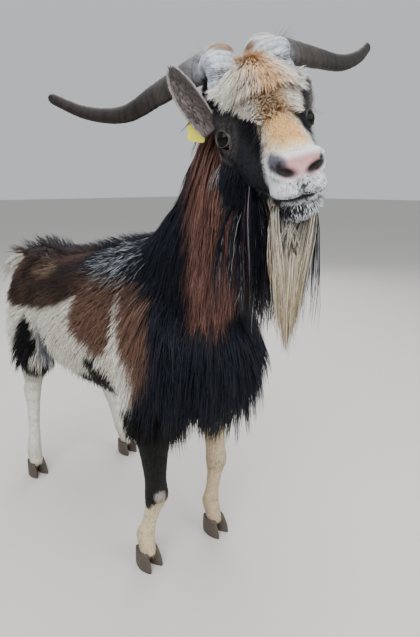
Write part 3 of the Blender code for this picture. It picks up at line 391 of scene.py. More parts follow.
def head_axes():
    """The head's own directions in the world: towards the nose, its left and its crown."""
    nod = math.cos(HEAD_NOD)
    nose = Vector((-math.sin(HEAD_TURN) * nod, -math.cos(HEAD_TURN) * nod, -math.sin(HEAD_NOD)))
    level_left = UP.cross(nose).normalized()
    level_crown = nose.cross(level_left).normalized()
    left = level_left * math.cos(HEAD_TILT) + level_crown * math.sin(HEAD_TILT)
    crown = level_crown * math.cos(HEAD_TILT) - level_left * math.sin(HEAD_TILT)
    return nose, left, crown


NOSE, HEAD_LEFT, CROWN = head_axes()


def on_head(place, side=1):
    """A place given in the head's frame, as a world point, on its left (1) or its right (-1)."""
    return HEAD_AT + NOSE * place[0] + HEAD_LEFT * (side * place[1]) + CROWN * place[2]


def eye_shift():
    """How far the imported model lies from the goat's own frame, found from the ball of an eye."""
    low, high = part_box("eye_right")
    return (low + high) / 2 - on_head(EYE_AT, -1)


SHIFT = eye_shift()
# The upright line that the beard draws in to
BEARD_LINE = on_head(BEARD_FALL)
# The head's directions once more, for sums over many points
HEAD_WAYS = np.array((NOSE, HEAD_LEFT, CROWN))
NOSE_WAY, LEFT_WAY, CROWN_WAY = HEAD_WAYS


def scene_object(name, data):
    obj = bpy.data.objects.new(name, data)
    bpy.context.scene.collection.objects.link(obj)
    return obj


def mesh_object(name, bm):
    """A scene object from a bmesh, which is used up."""
    mesh = bpy.data.meshes.new(name)
    bm.to_mesh(mesh)
    bm.free()
    return scene_object(name, mesh)


def bake_modifiers(obj):
    """Makes the modifiers' result the object's own mesh."""
    graph = bpy.context.evaluated_depsgraph_get()
    mesh = bpy.data.meshes.new_from_object(obj.evaluated_get(graph))
    obj.modifiers.clear()
    obj.data = mesh
    return obj


def circle(bm, points):
    """The corners of a new ring, still to be put in their places."""
    return bmesh.ops.create_circle(bm, segments=points, radius=1)["verts"]


def edges_of(ring):
    return list({edge for vert in ring for edge in vert.link_edges})


def section(bm, middle, side, rise, half_width, up_size, down_size=None, points=24):
    """One oval section, wider above or below its middle as the sizes say, as its edges."""
    ring = circle(bm, points)
    for vert in ring:
        tall = up_size if vert.co.y > 0 or down_size is None else down_size
        vert.co = middle + side * (half_width * vert.co.x) + rise * (tall * vert.co.y)
    return edges_of(ring)


def tube(bm, sections):
    """Joins sections of the same number of points, and closes both ends."""
    for one, two in zip(sections, sections[1:]):
        bmesh.ops.bridge_loops(bm, edges=one + two)
    for end in (sections[0], sections[-1]):
        bmesh.ops.contextual_create(bm, geom=end)


def ball(bm, middle, sizes, axes=(LEFT, BACK, UP), rings=12):
    """An ellipsoid with its sizes along three given axes."""
    turn = Matrix(axes).transposed().to_4x4()
    place = Matrix.Translation(middle) @ turn @ Matrix.Diagonal((*sizes, 1))
    bmesh.ops.create_uvsphere(bm, u_segments=rings * 2, v_segments=rings, radius=1, matrix=place)


def face_out(bm):
    bmesh.ops.recalc_face_normals(bm, faces=bm.faces)


def tangents(points):
    ways = []
    for i in range(len(points)):
        ahead = points[min(i + 1, len(points) - 1)]
        behind = points[max(i - 1, 0)]
        ways.append((ahead - behind).normalized())
    return ways


# The skin

def trunk(bm):
    sections = []
    for along, height, half_width, rise, fall in TRUNK:
        sections.append(section(bm, Vector((0, along, height)), LEFT, UP, half_width, rise, fall))
    tube(bm, sections)
    for side in (-1, 1):
        for place, size in ((SHOULDER_AT, SHOULDER_SIZE), (HAUNCH_AT, HAUNCH_SIZE), (HIP_AT, HIP_SIZE)):
            ball(bm, Vector((place.x * side, place.y, place.z)), size)


def neck(bm):
    """The neck turns from the trunk's own directions to the head's."""
    middles = [Vector(row[0]) for row in NECK]
    sections = []
    for i, (row, way) in enumerate(zip(NECK, tangents(middles))):
        share = (i / (len(NECK) - 1)) ** NECK_TURN_EASE
        side = LEFT.lerp(HEAD_LEFT, share)
        side = (side - way * side.dot(way)).normalized()
        sections.append(section(bm, middles[i], side, way.cross(side), row[1], row[2]))
    tube(bm, sections)


def tail(bm):
    middles = [Vector(row[0]) for row in TAIL]
    sections = []
    for middle, way, row in zip(middles, tangents(middles), TAIL):
        sections.append(section(bm, middle, LEFT, LEFT.cross(way), row[1], row[2]))
    tube(bm, sections)


def ramp(value, low, high):
    """From 0 at the low value to 1 at the high one."""
    return np.clip((value - low) / (high - low), 0, 1)


def leg_sections(sections, side, step, fades, lean=Vector((0, 0, 0))):
    """Middles and sizes of one leg, stepped and leaning away from the plain stance."""
    placed = []
    for x, y, z, half_width, half_depth in sections:
        stepped = step * (1 - float(ramp(z, *fades)))
        leaning = lean * float(ramp(z, *LEAN_RISES) * (1 - ramp(z, *LEAN_FADES)))
        placed.append((Vector((x * side, y, z)) + stepped + leaning, half_width, half_depth))
    return placed


STILL = Vector((0, 0, 0))
LEGS = {
    "foreleg_right": leg_sections(FORE_LEG, -1, STILL, FORE_STEP_FADES, RIGHT_FORE_LEAN),
    "foreleg_left": leg_sections(FORE_LEG, 1, LEFT_FORE_STEP, FORE_STEP_FADES),
    "hindleg_right": leg_sections(HIND_LEG, -1, STILL, HIND_STEP_FADES),
    "hindleg_left": leg_sections(HIND_LEG, 1, LEFT_HIND_STEP, HIND_STEP_FADES),
}


def leg(bm, rows):
    """One leg, with its two dewclaws behind the fetlock."""
    tube(bm, [section(bm, row[0], LEFT, BACK, row[1], row[2]) for row in rows])
    middle, half_width, half_depth = rows[DEW_CLAW_ROW]
    for side in (-1, 1):
        start = middle + Vector((side * half_width * 0.55, half_depth * 0.62, 0.004))
        way = Vector((side * 0.25, 0.55, -0.80)).normalized()
        place = Matrix.Translation(start) @ way.to_track_quat("Z", "Y").to_matrix().to_4x4()
        bmesh.ops.create_cone(
            bm, cap_ends=True, segments=12, radius1=DEW_CLAW_RADIUS, radius2=DEW_CLAW_RADIUS * 0.4,
            depth=DEW_CLAW_LENGTH, matrix=place,
        )


def head(bm):
    """Skull and muzzle, with the round forms that show under the skin."""
    sections = []
    for along, half_width, top, bottom in HEAD:
        middle = on_head((along, 0, (top + bottom) / 2))
        sections.append(section(bm, middle, HEAD_LEFT, CROWN, half_width, (top - bottom) / 2, points=40))
    tube(bm, sections)
    for side in (-1, 1):
        for place, size in HEAD_FORMS:
            ball(bm, on_head(place, side), size, (NOSE, HEAD_LEFT, CROWN), 20)


def remeshed(name, bm, voxel, smoothing):
    """One smooth skin over all that the bmesh holds."""
    face_out(bm)
    obj = mesh_object(name, bm)
    fuse = obj.modifiers.new("fuse", "REMESH")
    fuse.mode = "VOXEL"
    fuse.voxel_size = voxel
    soften = obj.modifiers.new("soften", "SMOOTH")
    soften.factor = 0.5
    soften.iterations = smoothing
    return bake_modifiers(obj)


def in_head(points):
    """World points as places in the head's frame: towards the nose, left and crown."""
    return (points - np.array(HEAD_AT)) @ HEAD_WAYS.T


def eye_axes(side):
    """The way an eye looks, and the directions along and across its opening."""
    out = (HEAD_LEFT * side + NOSE * EYE_FORWARD + CROWN * EYE_UP).normalized()
    along = (NOSE - out * NOSE.dot(out)).normalized()
    rise = along.cross(out)
    return out, along, rise * (1 if rise.dot(CROWN) > 0 else -1)


def eye_middle(side):
    return on_head(EYE_AT, side) + eye_axes(side)[0] * EYE_OUT


def bell(distance, width):
    """A soft bump of height 1 at distance 0."""
    return np.exp(-(distance / width) ** 2)


def nostril_pit(places):
    """How deep a place of the head's frame lies in a nostril, from 0 to 1: a comma that curls outwards."""
    nose, left, crown = places.T
    across = np.abs(left)
    slope = (across - 0.0165) * 0.35
    slit = np.sqrt(((across - 0.0170) / 0.0120) ** 2 + ((crown + 0.0540 - slope) / 0.0060) ** 2)
    curl = np.sqrt(((across - 0.0235) / 0.0040) ** 2 + ((crown + 0.0465) / 0.0045) ** 2)
    near = ramp(nose, 0.120, 0.130)
    return near * np.maximum(np.clip(1.5 - slit, 0, 1), np.clip(1.4 - curl, 0, 1) * 0.8)


def mouth_gap(places):
    """How near a place of the head's frame is to the line of the mouth, from 0 to 1."""
    nose, _, crown = places.T
    droop = 0.006 * (1 - ramp(nose, MOUTH_CORNER, 0.150))
    behind = ramp(nose, MOUTH_CORNER - 0.004, MOUTH_CORNER + 0.012)
    return bell(crown - MOUTH_HEIGHT - droop + 0.002, 0.0030) * behind


def carve_head(points, normals):
    """Presses the fine forms of the face into the skin: sockets, nostrils, mouth, lips and folds."""
    places = in_head(points)
    nose, left, crown = places.T
    muzzle = ramp(nose, 0.090, 0.125)
    moves = -NOSTRIL_DEPTH * nostril_pit(places)
    moves += -MOUTH_DEPTH * mouth_gap(places)
    lip = bell(crown - MOUTH_HEIGHT - 0.007, 0.0045) + bell(crown - MOUTH_HEIGHT + 0.008, 0.0045)
    moves += LIP_RISE * lip * muzzle
    groove = bell(left, 0.0016) * ramp(nose, 0.135, 0.150) * ramp(-crown, 0.045, 0.060)
    moves += -GROOVE_DEPTH * groove
    wing = bell(np.abs(left) - 0.022, 0.005) * bell(crown + 0.042, 0.006) * ramp(nose, 0.120, 0.140)
    moves += WING_RISE * wing
    for row in range(FOLDS):
        fold = bell(crown - 0.012 - row * FOLDS_APART + nose * 0.25, 0.0013) * bell(nose - 0.004, 0.022)
        moves += -FOLD_DEPTH * fold * (np.abs(left) > 0.030)
    points = points + normals * moves[:, None]
    for side in (-1, 1):
        out, along, rise = (np.array(axis) for axis in eye_axes(side))
        middle = np.array(eye_middle(side))
        away = points - middle
        x, y, depth = away @ along, away @ rise, away @ out
        share = np.sqrt((x / EYE_OPENING[0]) ** 2 + (y / EYE_OPENING[1]) ** 2)
        ball_top = np.sqrt(np.clip(EYE_RADIUS ** 2 - x * x - y * y, 1e-9, None)) - 0.0025
        lowest = LID_HEIGHT - 0.0015 - (share - 1) * 0.0135
        highest = LID_HEIGHT + 0.0010 + (share - 1) * 0.0135
        target = np.where(share < 1, np.minimum(ball_top, depth), np.clip(depth, lowest, highest))
        near = (share < SOCKET_REACH) & (depth > -0.016)
        fade = 1 - ramp(share, 1.5, SOCKET_REACH)
        points = points + out * ((target - depth) * near * fade)[:, None]
    return points


def vertex_arrays(mesh):
    """The mesh's points and normals."""
    points = np.empty(len(mesh.vertices) * 3)
    mesh.vertices.foreach_get("co", points)
    normals = np.empty(len(mesh.vertices) * 3)
    mesh.vertex_normals.foreach_get("vector", normals)
    return points.reshape(-1, 3), normals.reshape(-1, 3)


def cut_off(obj, point, way, keep_ahead):
    """A bmesh of the object with what lies behind the plane, or ahead of it, taken off."""
    bm = bmesh.new()
    bm.from_mesh(obj.data)
    bmesh.ops.bisect_plane(
        bm, geom=bm.verts[:] + bm.edges[:] + bm.faces[:], plane_co=point, plane_no=way,
        clear_inner=keep_ahead, clear_outer=not keep_ahead,
    )
    return bm


def make_skin():
    """The whole skin as one closed mesh: a fine head sewn to the body across the neck."""
    bm = bmesh.new()
    trunk(bm)
    neck(bm)
    tail(bm)
    for rows in LEGS.values():
        leg(bm, rows)
    body_skin = remeshed("body_skin", bm, BODY_VOXEL, BODY_SMOOTHING)
    bm = bmesh.new()
    head(bm)
    neck(bm)
    head_skin = remeshed("head_skin", bm, HEAD_VOXEL, HEAD_SMOOTHING)
    points, normals = vertex_arrays(head_skin.data)
    head_skin.data.vertices.foreach_set("co", carve_head(points, normals).ravel())
    middles = [Vector(row[0]) for row in NECK]
    seam, way = middles[SEAM_ROW], tangents(middles)[SEAM_ROW]
    bm = cut_off(body_skin, seam - way * SEAM_HALF_GAP, way, False)
    upper = cut_off(head_skin, seam + way * SEAM_HALF_GAP, way, True)
    spare = bpy.data.meshes.new("upper")
    upper.to_mesh(spare)
    upper.free()
    bm.from_mesh(spare)
    bpy.data.meshes.remove(spare)
    for obj in (body_skin, head_skin):
        bpy.data.objects.remove(obj)
    bmesh.ops.bridge_loops(bm, edges=[edge for edge in bm.edges if edge.is_boundary])
    near = [vert for vert in bm.verts if abs((vert.co - seam).dot(way)) < 4 * SEAM_HALF_GAP]
    for _ in range(SEAM_SMOOTHING):
        bmesh.ops.smooth_vert(bm, verts=near, factor=0.5, use_axis_x=True, use_axis_y=True, use_axis_z=True)
    bmesh.ops.triangulate(bm, faces=bm.faces)
    face_out(bm)
    return mesh_object("skin", bm)


# Markings

def soft_noise(points, size, seed):
    """Soft noise between -1 and 1, in blobs of about this size."""
    grid = np.random.default_rng(seed).uniform(-1, 1, (32, 32, 32))
    place = np.asarray(points) / size
    low = np.floor(place).astype(int)
    part = place - low
    part = part * part * (3 - 2 * part)
    total = np.zeros(len(place))
    for corner in itertools.product((0, 1), repeat=3):
        weight = np.prod(np.where(corner, part, 1 - part), axis=1)
        cell = (low + corner) % 32
        total += weight * grid[cell[:, 0], cell[:, 1], cell[:, 2]]
    return total


def oval_mask(y, z, middle, sizes, soft=0.10):
    """1 inside an oval of the side view and 0 outside it, with a soft edge."""
    away = np.sqrt(((y - middle[0]) / sizes[0]) ** 2 + ((z - middle[1]) / sizes[1]) ** 2)
    return np.clip((1 + soft - away) / (2 * soft), 0, 1)


def below(value, edge, soft=0.006):
    """1 where the value is under the edge."""
    return np.clip(0.5 + (edge - value) / (2 * soft), 0, 1)


def above(value, edge, soft=0.006):
    """1 where the value is over the edge."""
    return below(edge, value, soft)


def between(value, low, high, soft=0.006):
    return above(value, low, soft) * below(value, high, soft)


def laid(colours, *layers):
    """The colours with others laid over them in turn, each where its mask says."""
    for colour, mask in layers:
        colours = colours + (colour - colours) * mask[:, None]
    return colours


def trunk_colours(points, warp):
    """The patches of the body, as seen from the side."""
    x, y, z = points.T
    y = y + warp * 0.010 + np.where(x > 0, LEFT_FORWARD, 0)
    z = z + soft_noise(points, 0.035, 12) * 0.009 + np.where(x > 0, LEFT_LOWER, 0)
    browner = (0.22 + 0.4 * soft_noise(points, 0.06, 5)).clip(0, 1)[:, None]
    rump_tone = DARK_BROWN + (BROWN - DARK_BROWN) * browner
    saddle = between(y, np.interp(z, *STRIPE_REAR), -0.050 + 0.25 * (0.60 - z))
    front = between(y, -0.42, np.interp(z, *STRIPE_FRONT)) * above(z, 0.44, 0.01)
    return laid(
        np.repeat(WHITE[None], len(points), axis=0),
        (rump_tone, above(z, np.interp(y, *RUMP_LOW), 0.007) * above(y, -0.10, 0.012)),
        (BROWN, saddle * above(z, np.interp(y, *SADDLE_LOW))),
        (BROWN, front),
        (DARK_BROWN, above(z, 0.655, 0.03) * below(y, -0.02, 0.05) * 0.55),
        (BLACK, oval_mask(y, z, (-0.108, 0.425), (0.046, 0.078))),
        (BLACK, between(y, -0.10, 0.10, 0.01) * below(z, 0.412, 0.008)),
        (GREY_BLUE, oval_mask(y, z, (0.135, 0.45), (0.030, 0.080), 0.35)),
        (BLACK, oval_mask(y, z, (0.212, 0.432), (0.042, 0.112), 0.12)),
        (BEIGE, oval_mask(y, z, (0.163, 0.668), (0.050, 0.016), 0.5) * 0.3),
        (BLUE_BLACK, below(y, np.interp(z, *BLACK_EDGE), 0.012)),
        (BLUE_BLACK, above(z, np.interp(y, *BACK_LOW), 0.012) * below(y, 0.02, 0.04)),
        (BLUE_BLACK, bell(x, 0.030) * above(z, 0.66, 0.02)),
    )


def knee_patch(points, size, low, high):
    return ramp(bell(np.linalg.norm(points - np.array(KNEE_PATCH), axis=1), size), low, high)


def leg_colours(points, colours):
    """White hind legs, a black right foreleg with a cream cannon, and a beige left foreleg."""
    x, y, z = points.T
    warp = soft_noise(points, 0.012, 21)
    fore = (y < 0) & (z < 0.44)
    right, left = fore & (x < 0), fore & (x > 0)
    knee_edge = 0.181 + 0.030 * np.abs(np.sin(np.arctan2(y + 0.275, x + 0.108))) + warp * 0.006
    streaks = np.clip(soft_noise(points * np.array((1, 1, 0.15)), 0.010, 22) + (y + 0.25) * 12, 0, 1)
    return laid(
        colours,
        (CREAM, below(z, knee_edge, 0.003) * right),
        (CREAM + (BEIGE - CREAM) * 0.45, below(z, 0.400, 0.012) * left),
        (BEIGE * 0.6, streaks * 0.7 * left * below(z, 0.380, 0.02)),
        (WHITE, (y > 0) * below(z, 0.345 + warp * 0.01, 0.008)),
        (BLACK * 0.7, above(z, knee_edge, 0.003) * right),
        (BARE_GREY, knee_patch(points, 0.017, 0.35, 0.55)),
        (BEIGE, below(z, 0.085, 0.03) * 0.35),
    )


def across_view(points):
    return ACROSS_VIEW[0] * points[:, 0] + ACROSS_VIEW[1] * points[:, 1]


def neck_colours(points, colours):
    """Blue-black, with a red-brown mane on the right side."""
    x, y, z = points.T
    inside = behind_plane(points, HEAD_PART) & (ahead_plane(points, NECK_PART) | (z > 0.78)) & (y < -0.10)
    colours = np.where(inside[:, None], BLUE_BLACK, colours)
    across = across_view(points) + soft_noise(points, 0.02, 31) * 0.010
    mane = between(across, np.interp(z, *MANE_LOW), np.interp(z, *MANE_HIGH), 0.012)
    mane *= below(x, 0.015, 0.02) * above(z, 0.625, 0.02)
    return laid(colours, (RED_BROWN, mane * (z < 0.955)))


def nose_pad(nose, left, crown):
    """1 on the bare, pink end of the nose, between the nostrils."""
    end = above(nose, 0.141, 0.003) * between(crown, -0.061, -0.040, 0.003)
    return end * below(np.abs(left), 0.0215, 0.002)


def face_colours(points, colours):
    """The face: dark sides, a tan blaze, a white muzzle with a pink nose, and painted shade in the nostrils
    and along the mouth.
    """
    places = in_head(points)
    nose, left, crown = places.T
    warp = soft_noise(points, 0.010, 41)
    cheek = between(nose + warp * 0.006, -0.10, 0.002, 0.012) * below(crown, 0.030, 0.02)
    mottle = 0.5 + 0.5 * soft_noise(points, 0.014, 44)
    around = np.hypot(nose - EYE_AT[0] - 0.010, crown - EYE_AT[2])
    half_blaze = np.interp(nose, *BLAZE)
    top = above(crown, -(0.010 + (nose - 0.02).clip(0, 1) * 0.42), 0.01)
    edge = np.abs(left + 0.002) + warp * 0.005 + soft_noise(points, 0.004, 45) * 0.003
    beside_nose = np.maximum(below(crown, -0.034, 0.005), above(edge, half_blaze * 0.9, 0.004))
    middle = bell(left - 0.003, 0.019) * above(nose, 0.132, 0.008) * below(crown, -0.062, 0.004)
    corner = bell(nose - 0.112, 0.020) * bell(crown - MOUTH_HEIGHT + 0.006, 0.008) * (left < 0)
    pad = nose_pad(nose, left, crown)
    # A darker patch round the outer curl of the right nostril
    dark_round_right_nostril = below(np.hypot(left + 0.024, crown + 0.043), 0.0095, 0.003) * above(nose, 0.124, 0.005)
    tone = laid(
        np.repeat(BLUE_BLACK[None], len(points), axis=0),
        (FACE_GREY, cheek * np.where(left < 0, 0.22, 0.25 + 0.6 * mottle)),
        (BARE_GREY, bell(around - 0.019, 0.009) * (np.abs(left) > 0.03) * 0.20),
        (BARE_GREY, below(nose, -0.078, 0.008) * below(crown, -0.01, 0.01) * 0.9),
        (CREAM, below(edge, half_blaze, 0.005) * top),
        (ORANGE_TAN, below(edge, np.interp(nose, *BLAZE_TAN)) * top * below(nose + warp * 0.003, 0.140)),
        (BROWN, bell(left, 0.004) * top * below(nose, 0.075, 0.02) * 0.35),
        (STRAW, below(edge, half_blaze * 0.8) * between(nose, 0.136, 0.149, 0.005)),
        (MUZZLE_WHITE, above(nose, 0.112 + warp * 0.006, 0.008) * beside_nose),
        (MUZZLE_WHITE * 0.8, below(crown, -0.090) * above(nose, 0.075, 0.01)),
        (SLATE, middle * 0.35),
        (SLATE * 0.5, ramp(soft_noise(points, 0.0019, 43), 0.0, 0.3) * middle),
        (BLACK, corner * 0.9),
        (PINK, pad),
        (NOSE_BROWN, pad * above(crown, -0.048, 0.004) * 0.7),
        (SLATE, dark_round_right_nostril * 0.95),
        # Painted shade: the nostrils and the line of the mouth are painted near black
        (PAINTED_HOLLOW_SHADE, np.clip(nostril_pit(places) * 1.6 - 0.3, 0, 1)),
        (PAINTED_HOLLOW_SHADE, np.clip(mouth_gap(places) * 2.2 - 0.4, 0, 1)),
    )
    return np.where(ahead_plane(points, HEAD_PART)[:, None], tone, colours)


def ahead_plane(points, part):
    point, way = (np.array(value, float) for value in part)
    return (points - point) @ way > 0


def behind_plane(points, part):
    return ~ahead_plane(points, part)


def markings(points):
    """The colour of the coat at world points, as linear parts."""
    colours = trunk_colours(points, soft_noise(points, 0.030, 11))
    return face_colours(points, neck_colours(points, leg_colours(points, colours)))


def bareness(points):
    """1 on skin without hair: nose, rims of the lips and the patch on the right knee."""
    nose, left, crown = in_head(points).T
    lip = bell(crown - MOUTH_HEIGHT + 0.002, 0.005) * ramp(nose, 0.07, 0.09)
    return np.maximum.reduce([nose_pad(nose, left, crown), lip * 0.6, knee_patch(points, 0.016, 0.3, 0.6)])


# Hair

@dataclass
class Hair:
    """One kind of hair: its piece and paint slot, where it grows and how it lies, and its sizes.

    A kind without guides is short tufts that lie along the skin. Of the others, apart is the room
    of each hair and guides that of each guide hair, and shared is how many guides lead one hair.
    Lift raises hair at its root, droop bends it down, and hover is its least height over the skin.
    Clump draws the hairs of a guide together, wave and kink unsettle them, and gather draws them
    in to the beard's line. No hair hangs much lower than lowest. Halves parts right from left.
    Longer says how many times its length hair has at a root, and tone its colours.
    """

    piece: str
    slot: str
    where: Callable
    lie: Callable
    apart: float
    length: float
    width: float
    guides: float = 0.0
    steps: int = 5
    lift: float = 0.20
    droop: float = 0.25
    hover: float = 0.008
    clump: float = 0.55
    wave: float = 0.003
    kink: float = 0.03
    gather: float = 0.0
    shared: int = 1
    lowest: float = 0.0
    halves: bool = False
    longer: Callable | None = None
    tone: Callable | None = None


class Skin:
    """The skin's triangles and a search tree, for the roots of the coat."""

    def __init__(self, obj):
        self.mesh = obj.data
        points, normals = vertex_arrays(self.mesh)
        faces = np.empty(len(self.mesh.polygons) * 3, int)
        self.mesh.polygons.foreach_get("vertices", faces)
        faces = faces.reshape(-1, 3)
        self.corners = points[faces]
        self.corner_normals = normals[faces]
        sides = self.corners[:, 1:] - self.corners[:, :1]
        self.areas = np.linalg.norm(np.cross(sides[:, 0], sides[:, 1]), axis=1) / 2
        self.tree = BVHTree.FromPolygons(points.tolist(), faces.tolist())

    def roots(self, where, apart, seed):
        """Seeded places with their normals, about one in each cell of this size."""
        draw = np.random.default_rng(seed)
        middles = self.corners.mean(axis=1)
        facing = self.corner_normals.mean(axis=1)
        areas = self.areas * where(middles, facing)
        tries = int(areas.sum() / apart ** 2 * TRIES)
        index = draw.choice(len(areas), tries, p=areas / areas.sum())
        weights = draw.dirichlet((1, 1, 1), tries)[:, :, None]
        points = (self.corners[index] * weights).sum(axis=1)
        normals = (self.corner_normals[index] * weights).sum(axis=1)
        _, first = np.unique(np.floor(points / apart).astype(int), axis=0, return_index=True)
        first = draw.permutation(first)
        return points[first], unit(normals[first])


def unit(vectors):
    return vectors / np.maximum(np.linalg.norm(vectors, axis=-1, keepdims=True), 1e-9)


def along_skin(ways, normals):
    """The ways, turned into the surface."""
    return unit(ways - normals * (ways * normals).sum(axis=-1, keepdims=True))


def grow_guides(skin, roots, normals, kind, draw):
    """Guide hairs: each follows the lie and sags, and is kept off the skin."""
    ways = unit(along_skin(kind.lie(roots, normals), normals) + normals * kind.lift)
    paths = np.empty((len(roots), kind.steps + 1, 3))
    rises = np.empty_like(paths)
    scale = kind.length * (0.85 + 0.3 * draw.random(len(roots)))
    if kind.longer:
        scale = scale * kind.longer(roots)
    if kind.lowest:
        scale = np.minimum(scale, np.maximum((roots[:, 2] - kind.lowest) * 1.25, SHORTEST))
    room = kind.hover * (0.8 + 0.4 * draw.random(len(roots)))
    for number, (root, normal, way) in enumerate(zip(roots, normals, ways)):
        here, way = Vector(root), Vector(way)
        paths[number, 0] = root - normal * ROOT_DEPTH
        rises[number, 0] = normal
        stride = scale[number] / kind.steps
        for step in range(kind.steps):
            here = here + way * stride
            near, face_normal, _, _ = skin.tree.find_nearest(here)
            height = (here - near).dot(face_normal)
            least = room[number] * (0.4 + 0.6 * (step + 1) / kind.steps)
            if height < least:
                here = here + face_normal * (least - height)
            paths[number, step + 1] = here
            rises[number, step + 1] = face_normal
            before = Vector(paths[number, step])
            bend = Vector(draw.normal(size=3) * kind.kink)
            inwards = (BEARD_LINE - here) * kind.gather
            inwards.z = 0
            way = ((here - before).normalized() + DOWN * kind.droop + bend + inwards).normalized()
    return paths, rises


def nearest_guides(guides, roots, kind):
    """The guides next to each root, and how much of its path each one gives."""
    tree = KDTree(len(guides))
    for number, place in enumerate(guides):
        tree.insert(place, number)
    tree.balance()
    found = [tree.find_n(root, kind.shared) for root in roots]
    owners = np.array([[near[1] for near in row] for row in found])
    apart = np.array([[near[2] for near in row] for row in found])
    weights = 1 / (apart + 0.3 * kind.guides) ** 2
    return owners, weights / weights.sum(axis=1, keepdims=True)


def strands(kind, paths, rises, roots, draw):
    """Single strands round the guides: they draw together towards the tips and wave a little."""
    owners, weights = nearest_guides(paths[:, 0], roots, kind)
    share = np.linspace(0, 1, kind.steps + 1)
    reach = 0.65 + 0.45 * draw.random(len(roots))
    place = np.minimum(share[None] * reach[:, None], 1) * kind.steps
    low = np.minimum(place.astype(int), kind.steps - 1)
    part = (place - low)[:, :, None]
    fade = 1 - kind.clump * share[None, :, None] ** 1.3
    line, rise = 0, 0
    for owner, weight in zip(owners.T, weights.T):
        index, weight = owner[:, None], weight[:, None, None]
        offset = (roots - paths[owner, 0])[:, None]
        line = line + weight * (paths[index, low] * (1 - part) + paths[index, low + 1] * part + offset * fade)
        rise = rise + weight * (rises[index, low] * (1 - part) + rises[index, low + 1] * part)
    rise = unit(rise)
    ways = unit(np.gradient(line, axis=1))
    across = np.cross(ways, rise)
    phase = draw.random(len(roots))[:, None]
    turns = 0.7 + 0.9 * draw.random(len(roots))[:, None]
    swing = kind.wave * np.sin(2 * np.pi * (phase + share[None] * turns)) * share[None]
    splay = (draw.normal(size=len(roots)) * kind.length * SPLAY)[:, None] * share[None] ** 1.5
    layer = (draw.random(len(roots)) * LOCK_DEPTH)[:, None] * np.minimum(share[None] * 3, 1)
    line = line + across * (swing + splay)[:, :, None] + rise * layer[:, :, None]
    return line, rise


def short_tufts(kind, roots, normals, draw):
    """Short tufts that lie along the skin, with their tips a little off it."""
    lie = kind.lie(roots, normals) + draw.normal(size=roots.shape) * 0.14
    lie = along_skin(lie, normals)
    share = np.linspace(0, 1, kind.steps + 1)[None, :, None]
    reach = (kind.length * kind.longer(roots) * (0.75 + 0.5 * draw.random(len(roots))))[:, None, None]
    up = kind.lift * (0.6 + 0.8 * draw.random(len(roots)))[:, None, None]
    line = roots[:, None] - normals[:, None] * 0.0008 + lie[:, None] * reach * share
    line = line + normals[:, None] * reach * up * (share - 0.45 * share ** 2)
    return line, np.repeat(normals[:, None], kind.steps + 1, axis=1)


def strand_profile(rings):
    """Half widths of a strand from its root to its tip."""
    share = np.arange(rings) / rings
    return (0.70 + 0.30 * np.minimum(1, share * 4)) * (1 - share ** 1.7)


def hair_mesh(piece, line, rise, width, colours, spots):
    """One mesh of closed, three-sided strands: points from the lines, colours from root to tip, with painted
    shade at the roots.
    """
    count, rings = len(line), line.shape[1] - 1
    ways = unit(np.gradient(line, axis=1))
    across = unit(np.cross(ways, rise))
    top = np.cross(across, ways)
    half = (width[:, None] / 2 * strand_profile(rings)[None])[:, :, None]
    body = line[:, :-1]
    corners = np.stack(
        (body - across[:, :-1] * half, body + across[:, :-1] * half, body + top[:, :-1] * half * 0.7), axis=2
    ).reshape(count, rings * 3, 3)
    points = np.concatenate((corners, line[:, -1:]), axis=1)
    size = rings * 3 + 1
    faces = [(0, 1, 2)]
    for ring in range(rings - 1):
        for one, two in ((0, 1), (1, 2), (2, 0)):
            a, b = ring * 3 + one, ring * 3 + two
            faces += [(a, a + 3, b + 3), (a, b + 3, b)]
    last = (rings - 1) * 3
    faces += [(last + one, size - 1, last + two) for one, two in ((0, 1), (1, 2), (2, 0))]
    faces = (np.array(faces)[None] + (np.arange(count) * size)[:, None, None]).reshape(-1, 3)
    share = np.append(np.repeat(np.arange(rings) / rings, 3), 1)
    sideways = np.append(np.tile((0, 1, 0.5), rings), 0.5)
    root_colour, tip_colour = colours
    mix = share[None, :, None]
    shades = root_colour[:, None] * (1 - mix) + tip_colour[:, None] * mix
    # Painted shade: each strand is painted darker towards its root, as if in the shade of the coat
    shades = shades * (ROOT_SHADE + (1 - ROOT_SHADE) * np.minimum(1, mix * 2.2))
    patch = np.stack(np.broadcast_arrays(sideways * TUFT_PATCH, share * TUFT_PATCH), axis=1)
    flat = (spots[:, None] + patch[None]).reshape(-1, 2)
    return array_mesh(piece, points.reshape(-1, 3), faces, shades.reshape(-1, 3), flat)


def array_mesh(name, points, faces, shades, flat):
    mesh = bpy.data.meshes.new(name)
    mesh.vertices.add(len(points))
    mesh.vertices.foreach_set("co", points.astype(np.float32).ravel())
    mesh.loops.add(faces.size)
    mesh.loops.foreach_set("vertex_index", faces.astype(np.int32).ravel())
    mesh.polygons.add(len(faces))
    mesh.polygons.foreach_set("loop_start", np.arange(0, faces.size, 3, dtype=np.int32))
    mesh.update(calc_edges=True)
    mesh.polygons.foreach_set("use_smooth", np.ones(len(faces), bool))
    layer = mesh.uv_layers.new(name="OFBake")
    layer.uv.foreach_set("vector", flat[faces.ravel()].astype(np.float32).ravel())
    paint_points(mesh, "coat_colour", shades)
    return scene_object(name, mesh)


def paint_points(mesh, name, colours):
    attribute = mesh.attributes.new(name, "FLOAT_COLOR", "POINT")
    full = np.concatenate((colours, np.ones((len(colours), 1))), axis=1)
    attribute.data.foreach_set("color", full.astype(np.float32).ravel())


def mark_points(mesh, name, values):
    attribute = mesh.attributes.new(name, "FLOAT", "POINT")
    attribute.data.foreach_set("value", np.asarray(values, np.float32))


